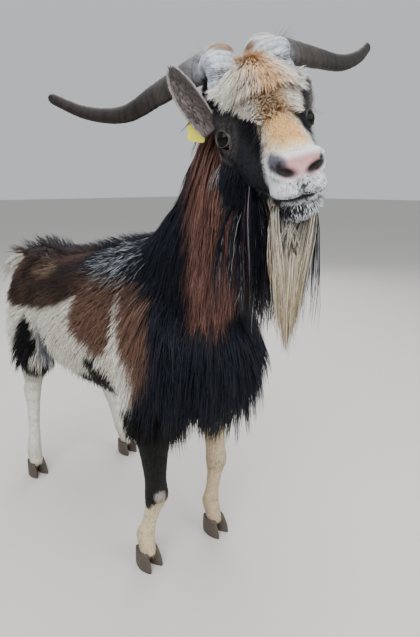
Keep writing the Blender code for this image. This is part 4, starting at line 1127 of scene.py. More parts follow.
def unwrapped(points, piece):
    """Places on an unwrap of the skin round the axis of this part of the body, filling the square."""
    if "leg" in piece:
        legs = np.sign(points[:, 0]) * 0.5 + np.sign(points[:, 1])
        kinds, which = np.unique(legs, return_inverse=True)
        centres = np.array([points[legs == one].mean(axis=0) for one in kinds])
        away = points - centres[which]
        angle = (np.arctan2(away[:, 1], away[:, 0]) / (2 * np.pi) + 0.5 + which) / len(centres)
        along = points[:, 2]
    elif "face" in piece or "beard" in piece or "forelock" in piece:
        places = in_head(points)
        angle, along = np.arctan2(places[:, 2] + 0.03, places[:, 1]), places[:, 0]
    elif "neck" in piece:
        angle, along = np.arctan2(points[:, 0], -points[:, 1] - (points[:, 2] - 0.4) * 0.6), points[:, 2]
    else:
        angle, along = np.arctan2(points[:, 2] - 0.57, points[:, 0]), points[:, 1]
    flat = np.stack((angle, along), axis=1)
    low, high = flat.min(axis=0), flat.max(axis=0)
    return (flat - low) / (high - low) * (1 - 3 * TUFT_PATCH) + TUFT_PATCH


# Where each kind of hair grows

def in_neck(points, normals=None):
    return behind_plane(points, HEAD_PART) & ahead_plane(points, NECK_PART) & ahead_plane(points, CHEST_PART)


def in_chest(points, normals=None):
    return behind_plane(points, NECK_PART) & ahead_plane(points, CHEST_PART) & (points[:, 2] > ELBOW_HEIGHT)


def in_barrel(points, normals=None):
    along = behind_plane(points, CHEST_PART) & ahead_plane(points, BARREL_PART)
    return along & (points[:, 2] > ELBOW_HEIGHT - 0.01)


def in_rump(points, normals=None):
    own = behind_plane(points, BARREL_PART) & behind_plane(points, THIGH_PART)
    return own & behind_plane(points, TAIL_PART)


def on_spine(points, normals):
    return (np.abs(points[:, 0]) < 0.024) & (normals[:, 2] > 0.5) & ~in_neck(points)


def on_legs(points, normals):
    body = in_neck(points) | in_chest(points) | in_barrel(points) | in_rump(points)
    return ~body & (points[:, 2] < 0.5) & (points[:, 2] > HOOF_TOP - 0.006)


def on_face(points, normals):
    places = in_head(points)
    nose, left, crown = places.T
    near_eye = np.hypot(nose - EYE_AT[0], crown - EYE_AT[2]) < 0.0165
    near_eye = near_eye & (np.abs(left) > 0.035)
    bald = near_eye | (bareness(points) > 0.5) | (nostril_pit(places) > 0.1) | (mouth_gap(places) > 0.35)
    return ahead_plane(points, HEAD_PART) & ~bald


def on_forelock(points, normals):
    nose, left, _ = in_head(points).T
    between_horns = (nose > -0.040) & (np.abs(left) < 0.012)
    before_horns = (nose > -0.025) & (np.abs(left) < 0.046)
    brow = nose < 0.034 - 0.5 * np.abs(left)
    return brow & (between_horns | before_horns) & (normals @ CROWN_WAY > 0.35)


def on_brow(points, normals):
    nose, left, _ = in_head(points).T
    width = np.interp(nose, (0.01, 0.05, 0.09), (0.034, 0.028, 0.020))
    low = nose < 0.084 + 0.012 * soft_noise(points, 0.0025, 47)
    return (nose > 0.012) & low & (np.abs(left) < width) & (normals @ CROWN_WAY > 0.3)


def on_beard(points, normals):
    nose, left, _ = in_head(points).T
    return (nose > 0.036) & (nose < 0.122) & (np.abs(left) < 0.022) & (normals @ CROWN_WAY < -0.60)


def on_chin(points, normals):
    nose, _, crown = in_head(points).T
    return (nose > 0.080) & (crown < MOUTH_HEIGHT - 0.006) & (normals @ CROWN_WAY < 0.3)


def on_throat(points, normals):
    nose, left, crown = in_head(points).T
    under = (normals @ CROWN_WAY < -0.5) & (np.abs(left) < 0.042)
    return ahead_plane(points, HEAD_PART) & (nose > -0.075) & (nose < 0.036) & (crown < -0.05) & under


def on_jaw(points, normals):
    nose, left, crown = in_head(points).T
    return (nose > -0.090) & (nose < 0.020) & (crown < -0.050) & (np.abs(left) > 0.012)


def on_tail(points, normals):
    return ahead_plane(points, TAIL_PART)


# How each kind of hair lies, and how much longer or shorter it is from place to place

def steady(way):
    """A lie that is the same all over."""
    return lambda points, normals: np.tile(tuple(way), (len(points), 1))


def flank_lie(points, normals):
    """Down and back, and more along the body towards the rump."""
    back = 0.14 + 0.95 * ramp(points[:, 1], -0.33, -0.05) * ramp(points[:, 2], 0.40, 0.55)
    return np.stack((np.zeros(len(points)), back, -np.ones(len(points))), axis=1)


def chest_reach(roots):
    """Full length on the shoulder and breast, and short behind the elbow."""
    return 1 - 0.60 * ramp(roots[:, 1], -0.300, -0.235)


def flank_reach(roots):
    """The hair hangs a little longer under the belly than on the flank."""
    return 1.20 - 0.45 * ramp(roots[:, 2], 0.46, 0.60)


def spine_lie(points, normals):
    return np.stack((points[:, 0] * 6, np.ones(len(points)), np.zeros(len(points))), axis=1)


def face_lie(points, normals):
    """Down the bridge and outwards from it, and back and down over the cheeks."""
    nose, left, crown = in_head(points).T
    bridge = ramp(normals @ CROWN_WAY, 0.25, 0.75)[:, None]
    down = ramp(0.06 - nose, 0, 0.10) * ramp(0.02 - crown, 0, 0.05)
    side = -NOSE_WAY * 0.6 - CROWN_WAY * (0.35 + 0.9 * down)[:, None]
    middle = NOSE_WAY * 0.8 + LEFT_WAY * (left * 35)[:, None]
    return side * (1 - bridge) + middle * bridge


def face_reach(roots):
    """Shorter towards the nose, and longer on the bridge, most of all along both of its edges."""
    nose, left, _ = in_head(roots).T
    bridge = below(np.abs(left), 0.030, 0.005) * ramp(0.12 - nose, 0, 0.04)
    edges = bell(np.abs(left) - 0.026, 0.006) * ramp(0.125 - nose, 0, 0.02)
    reach = np.interp(nose, (-0.10, 0.0, 0.08, 0.15), (1.9, 1.1, 0.8, 0.5))
    return reach * (1 + 0.7 * bridge) * (1 + 0.8 * edges)


def leg_reach(roots):
    return np.interp(roots[:, 2], (0.05, 0.12, 0.30, 0.42), (1.0, 0.8, 1.0, 2.2))


def forelock_lie(points, normals):
    """From a parting between the horns the hair sweeps forwards and over both brows."""
    return NOSE_WAY + LEFT_WAY * (in_head(points)[:, 1] * 30)[:, None] - CROWN_WAY * 0.1


def forelock_reach(roots):
    """Longest from the middle, so that the tips end together along the brows."""
    nose, left, _ = in_head(roots).T
    reach = (1 - 0.55 * ramp(np.abs(left), 0.008, 0.044)) * np.where(left > 0, 0.88, 1.0)
    return reach * (0.45 + 0.55 * ramp(nose, -0.040, -0.005))


def brow_lie(points, normals):
    return NOSE_WAY * 0.9 + LEFT_WAY * (in_head(points)[:, 1] * 34)[:, None]


def brow_reach(roots):
    return np.interp(in_head(roots)[:, 0], (0.01, 0.05, 0.09), (1.0, 0.70, 0.28))


# Colours of hair that differ from the markings under it

def picked(colours, mask, colour):
    """The colours, with another one where the mask says."""
    return np.where(mask[:, None], colour, colours)


def varied(colour, draw, count, low, spread):
    """The colour for each of so many strands, times a number drawn from low up to low plus spread."""
    return colour * (low + spread * draw.random(count))[:, None]


def silver_tone(seen, roots, draw):
    """Silver strands behind the withers and along the upper rump."""
    x, y, z = seen.T
    patch = oval_mask(y, z, (-0.125, 0.735), (0.105, 0.050), 0.35) * (np.abs(x) > 0.015)
    pick = draw.random(len(seen)) < patch * 0.55
    silver = SILVER * (0.18 + 0.55 * draw.random(len(seen)) ** 2)[:, None]
    colours = picked(markings(seen), pick, silver)
    return colours, colours * 1.1


def neck_tone(seen, roots, draw):
    """White strands in the black throat, beside the mane."""
    across = across_view(seen)
    throat = (across > 0.325) & (across < 0.370) & (seen[:, 2] > 0.70) & (seen[:, 0] < -0.03)
    colours = picked(markings(seen), draw.random(len(seen)) < np.where(throat, 0.12, 0), SILVER * 0.8)
    colours = picked(colours, draw.random(len(seen)) < 0.18, colours * 0.45)
    return colours, colours * 1.15


def throat_tone(seen, roots, draw):
    """Black locks beside the beard, with some white and brown strands."""
    number = draw.random(len(seen))
    colours = picked(BLUE_BLACK, number < 0.06, SILVER * 0.7)
    colours = picked(colours, number > 0.90, RED_BROWN * 0.7)
    return colours, colours * 1.1


def forelock_tone(seen, roots, draw):
    """White at both sides and cream between, with tan in the middle and a brown parting."""
    nose, left, _ = in_head(seen).T
    jitter = 0.006 * draw.normal(size=len(seen))
    warm = bell(left - 0.003 + jitter, 0.024)
    white = varied(FORELOCK_WHITE, draw, len(seen), 0.85, 0.2)
    parting = bell(in_head(roots)[:, 1] - 0.002, 0.003)
    root = laid(white, (FORELOCK_TAN, warm), (BROWN, parting * 0.45))
    tip = laid(white, (FORELOCK_TAN, warm * 0.8))
    tip = picked(tip, (left > 0.030) & (draw.random(len(seen)) < 0.35), SLATE)
    tip = picked(tip, (nose > 0.030) & (left < -0.016) & (draw.random(len(seen)) < 0.30), BROWN * 0.6)
    return root, tip


def brow_tone(seen, roots, draw):
    """Tan strokes with cream and brown ones between, paler at both edges of the blaze."""
    number = draw.random(len(seen))
    edge = ramp(np.abs(in_head(seen)[:, 1] + 0.002), 0.014, 0.026)
    colours = varied(GOLD, draw, len(seen), 0.95, 0.4)
    colours = picked(colours, number < 0.22 + 0.6 * edge, FORELOCK_WHITE * 0.9)
    colours = picked(colours, number > 0.91, BROWN * 1.4)
    return colours, laid(colours, (FORELOCK_WHITE * 0.9, 0.20 + 0.5 * edge))


def face_tone(seen, roots, draw):
    """Lighter and darker strokes on the face, with grey strokes in the black as painted highlight, and salt
    and pepper round the middle of the lips.
    """
    nose, left, crown = in_head(roots).T
    base = markings(seen)
    colours = varied(base, draw, len(seen), 0.70, 0.55)
    number = draw.random(len(seen))
    warm = (base[:, 0] > 0.20) & (base[:, 2] < base[:, 0] * 0.75)
    pale = (base[:, 0] > 0.45) & ~warm
    dark = base[:, 0] < 0.03
    colours = picked(colours, warm & (number < 0.28), FORELOCK_WHITE * 0.8)
    colours = picked(colours, warm & (number > 0.86), BROWN * 1.2)
    colours = picked(colours, pale & (number < 0.16), SLATE * 3.0)
    # Painted highlight: grey strokes in the black stand for the sheen on black hair
    colours = picked(colours, dark & (number < 0.14), FACE_GREY * 1.1)
    lips = bell(left - 0.004, 0.020) * above(nose, 0.130, 0.008) * below(crown, -0.060, 0.005)
    colours = picked(colours, draw.random(len(seen)) < lips * 0.75, SLATE * 0.22)
    return colours, colours * 1.2


def beard_tone(seen, roots, draw):
    """Cream-grey hairs with some dark ones, turning golden towards the tips."""
    pale = varied(BEARD_GREY, draw, len(seen), 0.74, 0.3)
    grey = draw.random(len(seen)) < 0.14
    pale = picked(pale, grey, SLATE * 1.3)
    gold = varied(BEARD_GOLD, draw, len(seen), 0.85, 0.25)
    return pale, picked(pale + (gold - pale) * 0.7, grey, pale * 1.2)


def chin_tone(seen, roots, draw):
    """White and grey strands, black near the right corner of the lip."""
    nose, left, crown = in_head(roots).T
    colours = varied(MUZZLE_WHITE, draw, len(seen), 0.72, 0.2)
    corner = bell(nose - 0.121, 0.023) * bell(crown + 0.094, 0.011) * (left < 0.003)
    dark = draw.random(len(seen)) < 0.10 + 0.90 * ramp(corner, 0.25, 0.6)
    colours = picked(colours, dark, SLATE * np.where(corner > 0.3, 0.25, 2.2)[:, None])
    return colours, colours * 1.05


def jaw_tone(seen, roots, draw):
    """Blue-black, with a pale edge behind the cheek."""
    pale = draw.random(len(seen)) < ramp(-in_head(roots)[:, 0], 0.066, 0.080) * 0.8
    return picked(BLUE_BLACK, pale, BARE_GREY), picked(BLUE_BLACK * 1.2, pale, SILVER)


def tail_tone(seen, roots, draw):
    white = np.tile(WHITE, (len(seen), 1))
    return white * 0.85, white


def plain_tone(seen, roots, draw):
    colours = markings(seen)
    return colours, colours * 1.08


# The kinds of hair, with their sizes in metres
HAIRS = (
    Hair("coat_chest", "coat_black", in_chest, flank_lie, apart=0.0052, length=0.125, width=0.0027,
         guides=0.020, hover=0.010, clump=0.45, steps=4, lowest=0.368, longer=chest_reach, halves=True,
         tone=silver_tone),
    Hair("coat_barrel", "coat_flank", in_barrel, flank_lie, apart=0.0052, length=0.046, width=0.0027,
         guides=0.014, hover=0.005, clump=0.25, steps=3, lowest=0.360, longer=flank_reach, tone=silver_tone),
    Hair("coat_rump", "coat_flank", in_rump, flank_lie, apart=0.0056, length=0.044, width=0.0027,
         guides=0.016, hover=0.005, steps=3, clump=0.35, lowest=0.345, longer=flank_reach, halves=True,
         tone=silver_tone),
    Hair("coat_spine", "coat_black", on_spine, spine_lie, apart=0.0048, length=0.075, width=0.0020,
         guides=0.012, lift=0.55, droop=0.08, clump=0.5, steps=4),
    Hair("coat_neck", "coat_mane", in_neck, steady((0, 0.20, -1.0)), apart=0.0046, length=0.120, width=0.0025,
         guides=0.018, lift=0.15, droop=0.35, hover=0.010, clump=0.4, steps=4, halves=True, tone=neck_tone),
    Hair("coat_forelock", "coat_face", on_forelock, forelock_lie, apart=0.0014, length=0.066, width=0.0012,
         guides=0.0045, lift=0.50, droop=0.20, hover=0.009, clump=0.08, wave=0.0010, kink=0.012, shared=4,
         longer=forelock_reach, tone=forelock_tone),
    Hair("coat_brow", "coat_face", on_brow, brow_lie, apart=0.0015, length=0.028, width=0.0013,
         guides=0.005, lift=0.07, droop=0.08, hover=0.0014, clump=0.10, steps=3, wave=0.0010, kink=0.02,
         shared=4, longer=brow_reach, tone=brow_tone),
    Hair("coat_beard", "coat_cream", on_beard, steady(DOWN + NOSE * 0.02), apart=0.0017, length=0.176,
         width=0.0017, guides=0.007, lift=0.9, droop=1.2, hover=0.003, clump=0.12, steps=8, wave=0.007,
         kink=0.036, gather=9, shared=2, tone=beard_tone),
    Hair("coat_throat", "coat_black", on_throat, steady(DOWN), apart=0.0030, length=0.195, width=0.0020,
         guides=0.011, lift=0.9, droop=1.2, clump=0.4, steps=6, kink=0.05, tone=throat_tone),
    Hair("coat_chin", "coat_face", on_chin, steady(DOWN + NOSE * 0.30), apart=0.0018, length=0.0065,
         width=0.0013, guides=0.004, lift=0.2, droop=0.4, hover=0.001, clump=0.3, steps=3, wave=0.001,
         tone=chin_tone),
    Hair("coat_jaw", "coat_face", on_jaw, steady(DOWN - NOSE * 0.45), apart=0.0027, length=0.045,
         width=0.0015, guides=0.010, hover=0.005, clump=0.4, steps=3, tone=jaw_tone),
    Hair("coat_tail", "coat_white", on_tail, steady((-0.35, 0.9, -0.4)), apart=0.0034, length=0.070,
         width=0.0022, guides=0.010, lift=0.30, hover=0.004, clump=0.5, steps=4, tone=tail_tone),
)
SHORT_HAIRS = (
    Hair("coat_legs", "coat_white", on_legs, steady((0, 0.10, -1.0)), apart=0.0034, length=0.014,
         width=0.0022, steps=1, lift=0.16, longer=leg_reach),
    Hair("coat_face", "coat_face", on_face, face_lie, apart=0.0019, length=0.0105, width=0.0018,
         steps=1, lift=0.20, longer=face_reach, tone=face_tone),
)


def coat(skin, kind, seed):
    """The meshes of one kind of hair, in the colours of the coat: one, or one for each half of the body."""
    draw = np.random.default_rng(seed)
    roots, normals = skin.roots(kind.where, kind.apart, seed + 2)
    if kind.guides:
        paths, rises = grow_guides(skin, *skin.roots(kind.where, kind.guides, seed + 1), kind, draw)
        line, rise = strands(kind, paths, rises, roots, draw)
    else:
        line, rise = short_tufts(kind, roots, normals, draw)
    seen = line[:, (kind.steps + 1) // 2]
    colours = (kind.tone or plain_tone)(seen, roots, draw)
    brightness = (1 + 0.09 * draw.normal(size=len(roots))).clip(0.7, 1.3)[:, None]
    root_colour, tip_colour = (colour * brightness for colour in colours)
    width = kind.width * (0.7 + 0.6 * draw.random(len(roots)))
    spots = unwrapped(roots, kind.piece)
    parts = {kind.piece: np.ones(len(roots), bool)}
    if kind.halves:
        parts = {kind.piece + "_right": roots[:, 0] < 0, kind.piece + "_left": roots[:, 0] >= 0}
    return [
        hair_mesh(name, line[own], rise[own], width[own], (root_colour[own], tip_colour[own]), spots[own])
        for name, own in parts.items()
    ]


# Horns, eyes, ears, tags and hooves

def smooth_curve(points, share):
    """A point on a smooth curve through the given points, and never a corner at one."""
    place = share * (len(points) - 1)
    i = min(int(place), len(points) - 2)
    t = place - i
    before = points[i - 1] if i > 0 else points[i] * 2 - points[i + 1]
    after = points[i + 2] if i + 2 < len(points) else points[i + 1] * 2 - points[i]
    a, b = points[i], points[i + 1]
    return 0.5 * (
        2 * a + (b - before) * t + (2 * before - 5 * a + 4 * b - after) * t * t
        + (3 * a - before - 3 * b + after) * t ** 3
    )


def horn(name, places, side):
    """A flattened horn with growth rings, deepest near its root."""
    draw = np.random.default_rng(80 + side)
    places = [on_head(place, side) for place in places]
    shares = [i / (HORN_RINGS - 1) for i in range(HORN_RINGS)]
    middles = [smooth_curve(places, share) for share in shares]
    bm = bmesh.new()
    sections, marks, grooves = [], [], []
    for i, (share, middle, way) in enumerate(zip(shares, middles, tangents(middles))):
        wave = abs(math.sin(math.pi * (i / RING_APART + 0.35 * math.sin(i * 0.31)))) ** 0.6
        ridge = 1 + (RING_AT_ROOT * (1 - share) + RING_AT_TIP) * (wave - 0.6) + 0.005 * draw.normal()
        taper = (1 - share) ** HORN_TAPER
        close = max(0.0, (share - 0.97) / 0.03)
        rounded = math.sqrt(max(0.04, 1 - close ** 2))
        half_depth, half_thick = (
            (tip + (root - tip) * taper) * ridge * rounded for root, tip in (HORN_DEPTH, HORN_THICKNESS)
        )
        depth = (NOSE - way * NOSE.dot(way)).normalized()
        turn = HORN_SET + (HORN_TWIST - HORN_SET) * share ** 3
        depth = Matrix.Rotation(side * turn, 3, way) @ depth
        thick = way.cross(depth)
        sections.append(section(bm, middle, depth, thick, half_depth, half_thick, points=HORN_SIDES))
        marks += [share] * HORN_SIDES
        grooves += [wave] * HORN_SIDES
    tube(bm, sections)
    face_out(bm)
    obj = mesh_object(name, bm)
    mark_points(obj.data, "along", marks)
    mark_points(obj.data, "ring", grooves)
    mark_horn_highlight_and_scar(obj.data, np.array(marks), side)
    return obj


def mark_horn_highlight_and_scar(mesh, marks, side):
    """Marks the upper rim of a horn for a painted highlight, where light from above falls, and raises the
    rough growth at its root.
    """
    points, normals = vertex_arrays(mesh)
    # Painted highlight: the highest points of each section, where light from above falls, are marked to be
    # painted pale
    heights = points[:, 2].reshape(HORN_RINGS, HORN_SIDES)
    heights = heights - heights.mean(axis=1, keepdims=True)
    rim = np.clip(heights / heights.max(axis=1, keepdims=True), 0, 1).ravel() ** 10
    mark_points(mesh, "rim", rim * ramp(marks, 0.12, 0.30))
    place, reach, height = HORN_SCARS[side]
    scar = bell(np.linalg.norm(points - np.array(on_head(place, side)), axis=1), reach)
    rough = 0.55 + 0.45 * soft_noise(points, 0.007, 85)
    points = points + normals * (scar * rough * height)[:, None]
    mesh.vertices.foreach_set("co", points.astype(np.float32).ravel())
    mark_points(mesh, "scar", ramp(scar * (0.6 + 0.4 * rough), 0.22, 0.42))


def eyeball(name, side):
    """The ball with a slightly domed cornea. Each point keeps its place round the way the eye looks."""
    out, along, rise = eye_axes(side)
    bm = bmesh.new()
    middle = eye_middle(side)
    ball(bm, middle, [EYE_RADIUS] * 3, (along, rise, out), 32)
    for vert in bm.verts:
        away = vert.co - middle
        near = math.hypot(away.dot(along), away.dot(rise)) / (EYE_RADIUS * CORNEA_REACH)
        if away.dot(out) > 0 and near < 1:
            vert.co += out * (CORNEA_HEIGHT * (1 - near ** 2))
    face_out(bm)
    obj = mesh_object(name, bm)
    mesh = obj.data
    points, _ = vertex_arrays(mesh)
    away = points - np.array(middle)
    gaze = np.stack([away @ np.array(axis) / EYE_RADIUS for axis in (along, rise, out)], axis=1)
    attribute = mesh.attributes.new("gaze", "FLOAT_VECTOR", "POINT")
    attribute.data.foreach_set("vector", gaze.astype(np.float32).ravel())
    return obj


def lids(name, side, tree):
    """The upper and lower lid as one ring of folded skin, from the ball out to the socket."""
    out, along, rise = eye_axes(side)
    middle = eye_middle(side)
    bm = bmesh.new()
    rows = []
    for scale, height in LID_ROWS:
        ring = circle(bm, LID_POINTS)
        for vert in ring:
            x, y = vert.co.x, vert.co.y
            flat_x = x * EYE_OPENING[0] * scale
            flat_y = y * EYE_OPENING[1] * scale * (1 if y > 0 else 0.92)
            flat = middle + along * flat_x + rise * flat_y
            deep = math.sqrt(max((EYE_RADIUS + height) ** 2 - flat_x ** 2 - flat_y ** 2, 1e-6))
            if scale > LID_ON_BALL:
                hit = tree.ray_cast(flat + out * 0.05, -out)[0]
                deep = (hit - flat).dot(out) + height if hit else LID_HEIGHT
            vert.co = flat + out * deep
        rows.append(edges_of(ring))
    for one, two in zip(rows, rows[1:]):
        bmesh.ops.bridge_loops(bm, edges=one + two)
    bmesh.ops.bridge_loops(bm, edges=rows[0] + rows[-1])
    face_out(bm)
    return mesh_object(name, bm)


def ear_frame(side):
    """Root, tip and directions of an ear: along it, into its hollow and across it."""
    root = on_head(EAR_ROOT, side)
    tip = on_head(EAR_TIP_RIGHT if side < 0 else EAR_TIP_LEFT, side)
    along = (tip - root).normalized()
    forward = NOSE * 0.85 + HEAD_LEFT * (side * 0.6)
    hollow = (forward - along * forward.dot(along)).normalized()
    return root, tip, along, hollow, along.cross(hollow)


def ear_radius(share):
    """The radius of the bent strip that the ear is, from root to tip."""
    half = EAR_HALF_WIDTH * (0.72 + 0.9 * share) * (1 - share ** 1.9) ** 0.8 + 0.0025
    return half / math.sin(EAR_BEND / 2)


def ear_inside(radius, angle):
    """The radius of the strip's inner face: its wall is thinner towards both edges."""
    return np.maximum(radius - EAR_WALL * (0.45 + 0.55 * np.cos(angle)), radius * 0.4)


def ear(name, side):
    """A leaf-shaped cup: each section is a bent strip with its wall's thickness."""
    root, tip, along, hollow, across = ear_frame(side)
    length = (tip - root).length
    bm = bmesh.new()
    sections, depths = [], []
    for i in range(EAR_STATIONS):
        share = 1 - (1 - i / (EAR_STATIONS - 1)) ** 1.5
        radius = ear_radius(share)
        middle = root + along * (length * share) + hollow * radius
        points = 2 * (EAR_STRIP + 1)
        ring = circle(bm, points)
        for k, vert in enumerate(ring):
            step = k if k <= EAR_STRIP else points - 1 - k
            angle = EAR_BEND * (step / EAR_STRIP - 0.5)
            spoke = across * math.sin(angle) - hollow * math.cos(angle)
            inner = k > EAR_STRIP
            vert.co = middle + spoke * float(ear_inside(radius, angle) if inner else radius)
            depths.append(1.0 if inner else 0.0)
        sections.append(edges_of(ring))
    tube(bm, sections)
    face_out(bm)
    obj = mesh_object(name, bm)
    mark_points(obj.data, "inner", depths)
    return obj


def ear_hair(name, side):
    """Fringes along both edges of an ear, hair in its cup and short fur on its back."""
    draw = np.random.default_rng(90 + side)
    root, tip, along, hollow, across = (np.array(value) for value in ear_frame(side))
    length = np.linalg.norm(tip - root)
    share = draw.random(EAR_HAIRS) ** 0.8 * 0.98
    kind = draw.random(EAR_HAIRS)
    fringe = kind >= EAR_BACK_AND_CUP
    inside = (kind > EAR_BACK) & ~fringe
    spread = (draw.random(EAR_HAIRS) - 0.5) * 0.96
    turn = np.where(fringe, np.sign(draw.random(EAR_HAIRS) - 0.5) * 0.49, spread)
    radius = np.array([ear_radius(value) for value in share])
    angle = EAR_BEND * turn
    spoke = across * np.sin(angle)[:, None] - hollow * np.cos(angle)[:, None]
    middle = root + along * (length * share)[:, None] + hollow * radius[:, None]
    roots = middle + spoke * np.where(inside, ear_inside(radius, angle), radius)[:, None]
    normals = np.where(inside[:, None], -spoke, spoke)
    lie = along + hollow * np.where(fringe, 0.55, 0)[:, None] + spoke * np.where(fringe, 0.35, 0)[:, None]
    lengths = np.where(fringe, 0.0065, np.where(inside, 0.010, 0.0060)) * (0.7 + 0.6 * draw.random(EAR_HAIRS))
    lift = np.where(inside, 0.45, 0.16)
    steps = np.linspace(0, 1, 3)[None, :, None]
    lie = unit(lie + draw.normal(size=lie.shape) * 0.12)
    line = roots[:, None] - normals[:, None] * 0.0006 + lie[:, None] * lengths[:, None, None] * steps
    line = line + normals[:, None] * (lengths * lift)[:, None, None] * (steps - 0.5 * steps ** 2)
    back = varied(EAR_BACK_GREY, draw, EAR_HAIRS, 0.75, 0.6)
    cup = varied(EAR_CUP_GREY, draw, EAR_HAIRS, 0.8, 0.4)
    edge = varied(EAR_FRINGE, draw, EAR_HAIRS, 0.8, 0.3)
    colours = picked(picked(back, inside, cup), fringe, edge)
    width = EAR_HAIR_WIDTH * (0.7 + 0.6 * draw.random(EAR_HAIRS))
    spots = np.stack((turn + 0.5, share), axis=1) * (1 - 3 * TUFT_PATCH) + TUFT_PATCH
    rise = np.repeat(normals[:, None], 3, axis=1)
    return hair_mesh(name, line, rise, width, (colours, colours * 1.1), spots)


def edge_rise(edge, way):
    """How far an edge goes along a way."""
    return abs((edge.verts[0].co - edge.verts[1].co).dot(way))


def ear_tag(name, side):
    """A plain tag of two parts: a plate with rounded corners and the round head of its pin."""
    root, tip, along, hollow, _ = ear_frame(side)
    width, height, thick = TAG_SIZE
    back = root + (tip - root) * TAG_ALONG_EAR
    hang = (DOWN + along * 0.2 - hollow * (DOWN + along * 0.2).dot(hollow)).normalized()
    wide = hang.cross(hollow)
    middle = back - hollow * (thick / 2 + TAG_GAP) + hang * (height * TAG_HANG) - wide * (side * TAG_OUT)
    bm = bmesh.new()
    turn = Matrix((wide, hang, hollow)).transposed().to_4x4()
    place = Matrix.Translation(middle) @ turn @ Matrix.Diagonal((width, height, thick, 1))
    bmesh.ops.create_cube(bm, size=1, matrix=place)
    upright = [edge for edge in bm.edges if edge_rise(edge, hollow) > thick / 2]
    bmesh.ops.bevel(bm, geom=upright, offset=TAG_CORNER, segments=8, affect="EDGES", profile=0.5, material=-1)
    flat = [edge for edge in bm.edges if edge_rise(edge, hollow) < thick / 4 and len(edge.link_faces) == 2]
    rim = [edge for edge in flat if edge.calc_face_angle(0) > 1]
    bmesh.ops.bevel(bm, geom=rim, offset=TAG_RIM, segments=2, affect="EDGES", profile=0.5, material=-1)
    pin = middle - hang * (height * 0.34) - hollow * (thick * 0.9)
    bmesh.ops.create_cone(
        bm, cap_ends=True, segments=32, radius1=PIN_RADII[0], radius2=PIN_RADII[1], depth=PIN_HEIGHT,
        matrix=Matrix.Translation(pin) @ turn,
    )
    face_out(bm)
    return mesh_object(name, bm)


def claw(name, middle, side):
    """One half of a hoof: flat below, with a sloping, faintly ringed front wall."""
    bm = bmesh.new()
    turn = Matrix.Rotation(CLAW_SPLAY * side, 3, "Z")
    sections = []
    for level in range(CLAW_LEVELS):
        share = level / (CLAW_LEVELS - 1)
        height = HOOF_TOP * share
        scale = float(np.interp(height, *CLAW_SCALE))
        set_back = float(np.interp(height, *CLAW_SET_BACK))
        scale *= 1 + 0.010 * math.sin(level * 2.1) * (0.1 < share < 0.95)
        scale *= 0.97 if level == 0 else 1
        ring = circle(bm, CLAW_SIDES)
        for k, vert in enumerate(ring):
            angle = 2 * math.pi * k / CLAW_SIDES
            narrow = 1 - 0.45 * max(0.0, math.cos(angle)) ** 2
            x = math.sin(angle) * CLAW_HALF_WIDTH * scale * narrow
            y = -math.cos(angle) * CLAW_LENGTH / 2 * scale + set_back * CLAW_LENGTH * CLAW_TOE_SLOPE
            vert.co = middle + turn @ Vector((x, y, 0)) + UP * height
        sections.append(edges_of(ring))
    tube(bm, sections)
    face_out(bm)
    return mesh_object(name, bm)


# Materials

def add_node(tree, kind, links=(), **settings):
    """A node with its settings and links. A setting is an input by its name, or else a property."""
    node = tree.nodes.new("ShaderNode" + kind)
    for name, value in settings.items():
        socket = node.inputs.get(name.replace("_", " "))
        if socket is None:
            setattr(node, name.lower(), value)
        else:
            socket.default_value = value
    for source, target in links:
        tree.links.new(source, node.inputs[target])
    return node


def new_material(name):
    material = bpy.data.materials.new(name)
    material.use_nodes = True
    tree = material.node_tree
    return material, tree, tree.nodes["Principled BSDF"]


def opaque(colour):
    return (*linear(colour), 1)


def measure(tree, name, output="Fac"):
    """The value or colour that a piece carries at each of its points under this name."""
    return add_node(tree, "Attribute", attribute_name=name).outputs[output]


def ranged(tree, value, low, high, new_low, new_high):
    """The value, held between low and high and stretched to a new range."""
    sizes = {"From_Min": low, "From_Max": high, "To_Min": new_low, "To_Max": new_high}
    return add_node(tree, "MapRange", [(value, "Value")], **sizes).outputs["Result"]


def mixed(tree, share, first, second, blend="MIX"):
    """A colour mix. Each of the three may be a socket or a value."""
    node = add_node(tree, "Mix", data_type="RGBA", blend_type=blend)
    for index, value in ((0, share), (6, first), (7, second)):
        if isinstance(value, bpy.types.NodeSocket):
            tree.links.new(value, node.inputs[index])
        else:
            node.inputs[index].default_value = value
    return node.outputs[2]


def colour_ramp(tree, value, stops):
    """The colour that belongs to a value, blended between the stops: a value and a colour each."""
    node = add_node(tree, "ValToRGB", [(value, "Fac")])
    marks = node.color_ramp.elements
    marks[0].position, marks[1].position = stops[0][0], stops[-1][0]
    for position, _ in stops[1:-1]:
        marks.new(position)
    for mark, (_, colour) in zip(marks, stops):
        mark.color = opaque(colour)
    return node.outputs["Color"]


def object_place(tree):
    return add_node(tree, "TexCoord").outputs["Object"]


def streaks(tree, scales, detail=3.0):
    """Noise for fine hair or fibres, with so many streaks to a metre along each axis of the object."""
    stretch = add_node(tree, "Mapping", [(object_place(tree), "Vector")], Scale=scales)
    noise = add_node(tree, "TexNoise", [(stretch.outputs["Vector"], "Vector")], Scale=1.0, Detail=detail)
    return noise.outputs["Fac"]


def surfaced(tree, shader, colour, roughness, specular=0.5):
    tree.links.new(colour, shader.inputs["Base Color"])
    shader.inputs["Roughness"].default_value = roughness
    shader.inputs["Specular IOR Level"].default_value = specular


def bumped(tree, shader, height, strength, distance):
    bump = add_node(tree, "Bump", [(height, "Height")], Strength=strength, Distance=distance)
    tree.links.new(bump.outputs["Normal"], shader.inputs["Normal"])


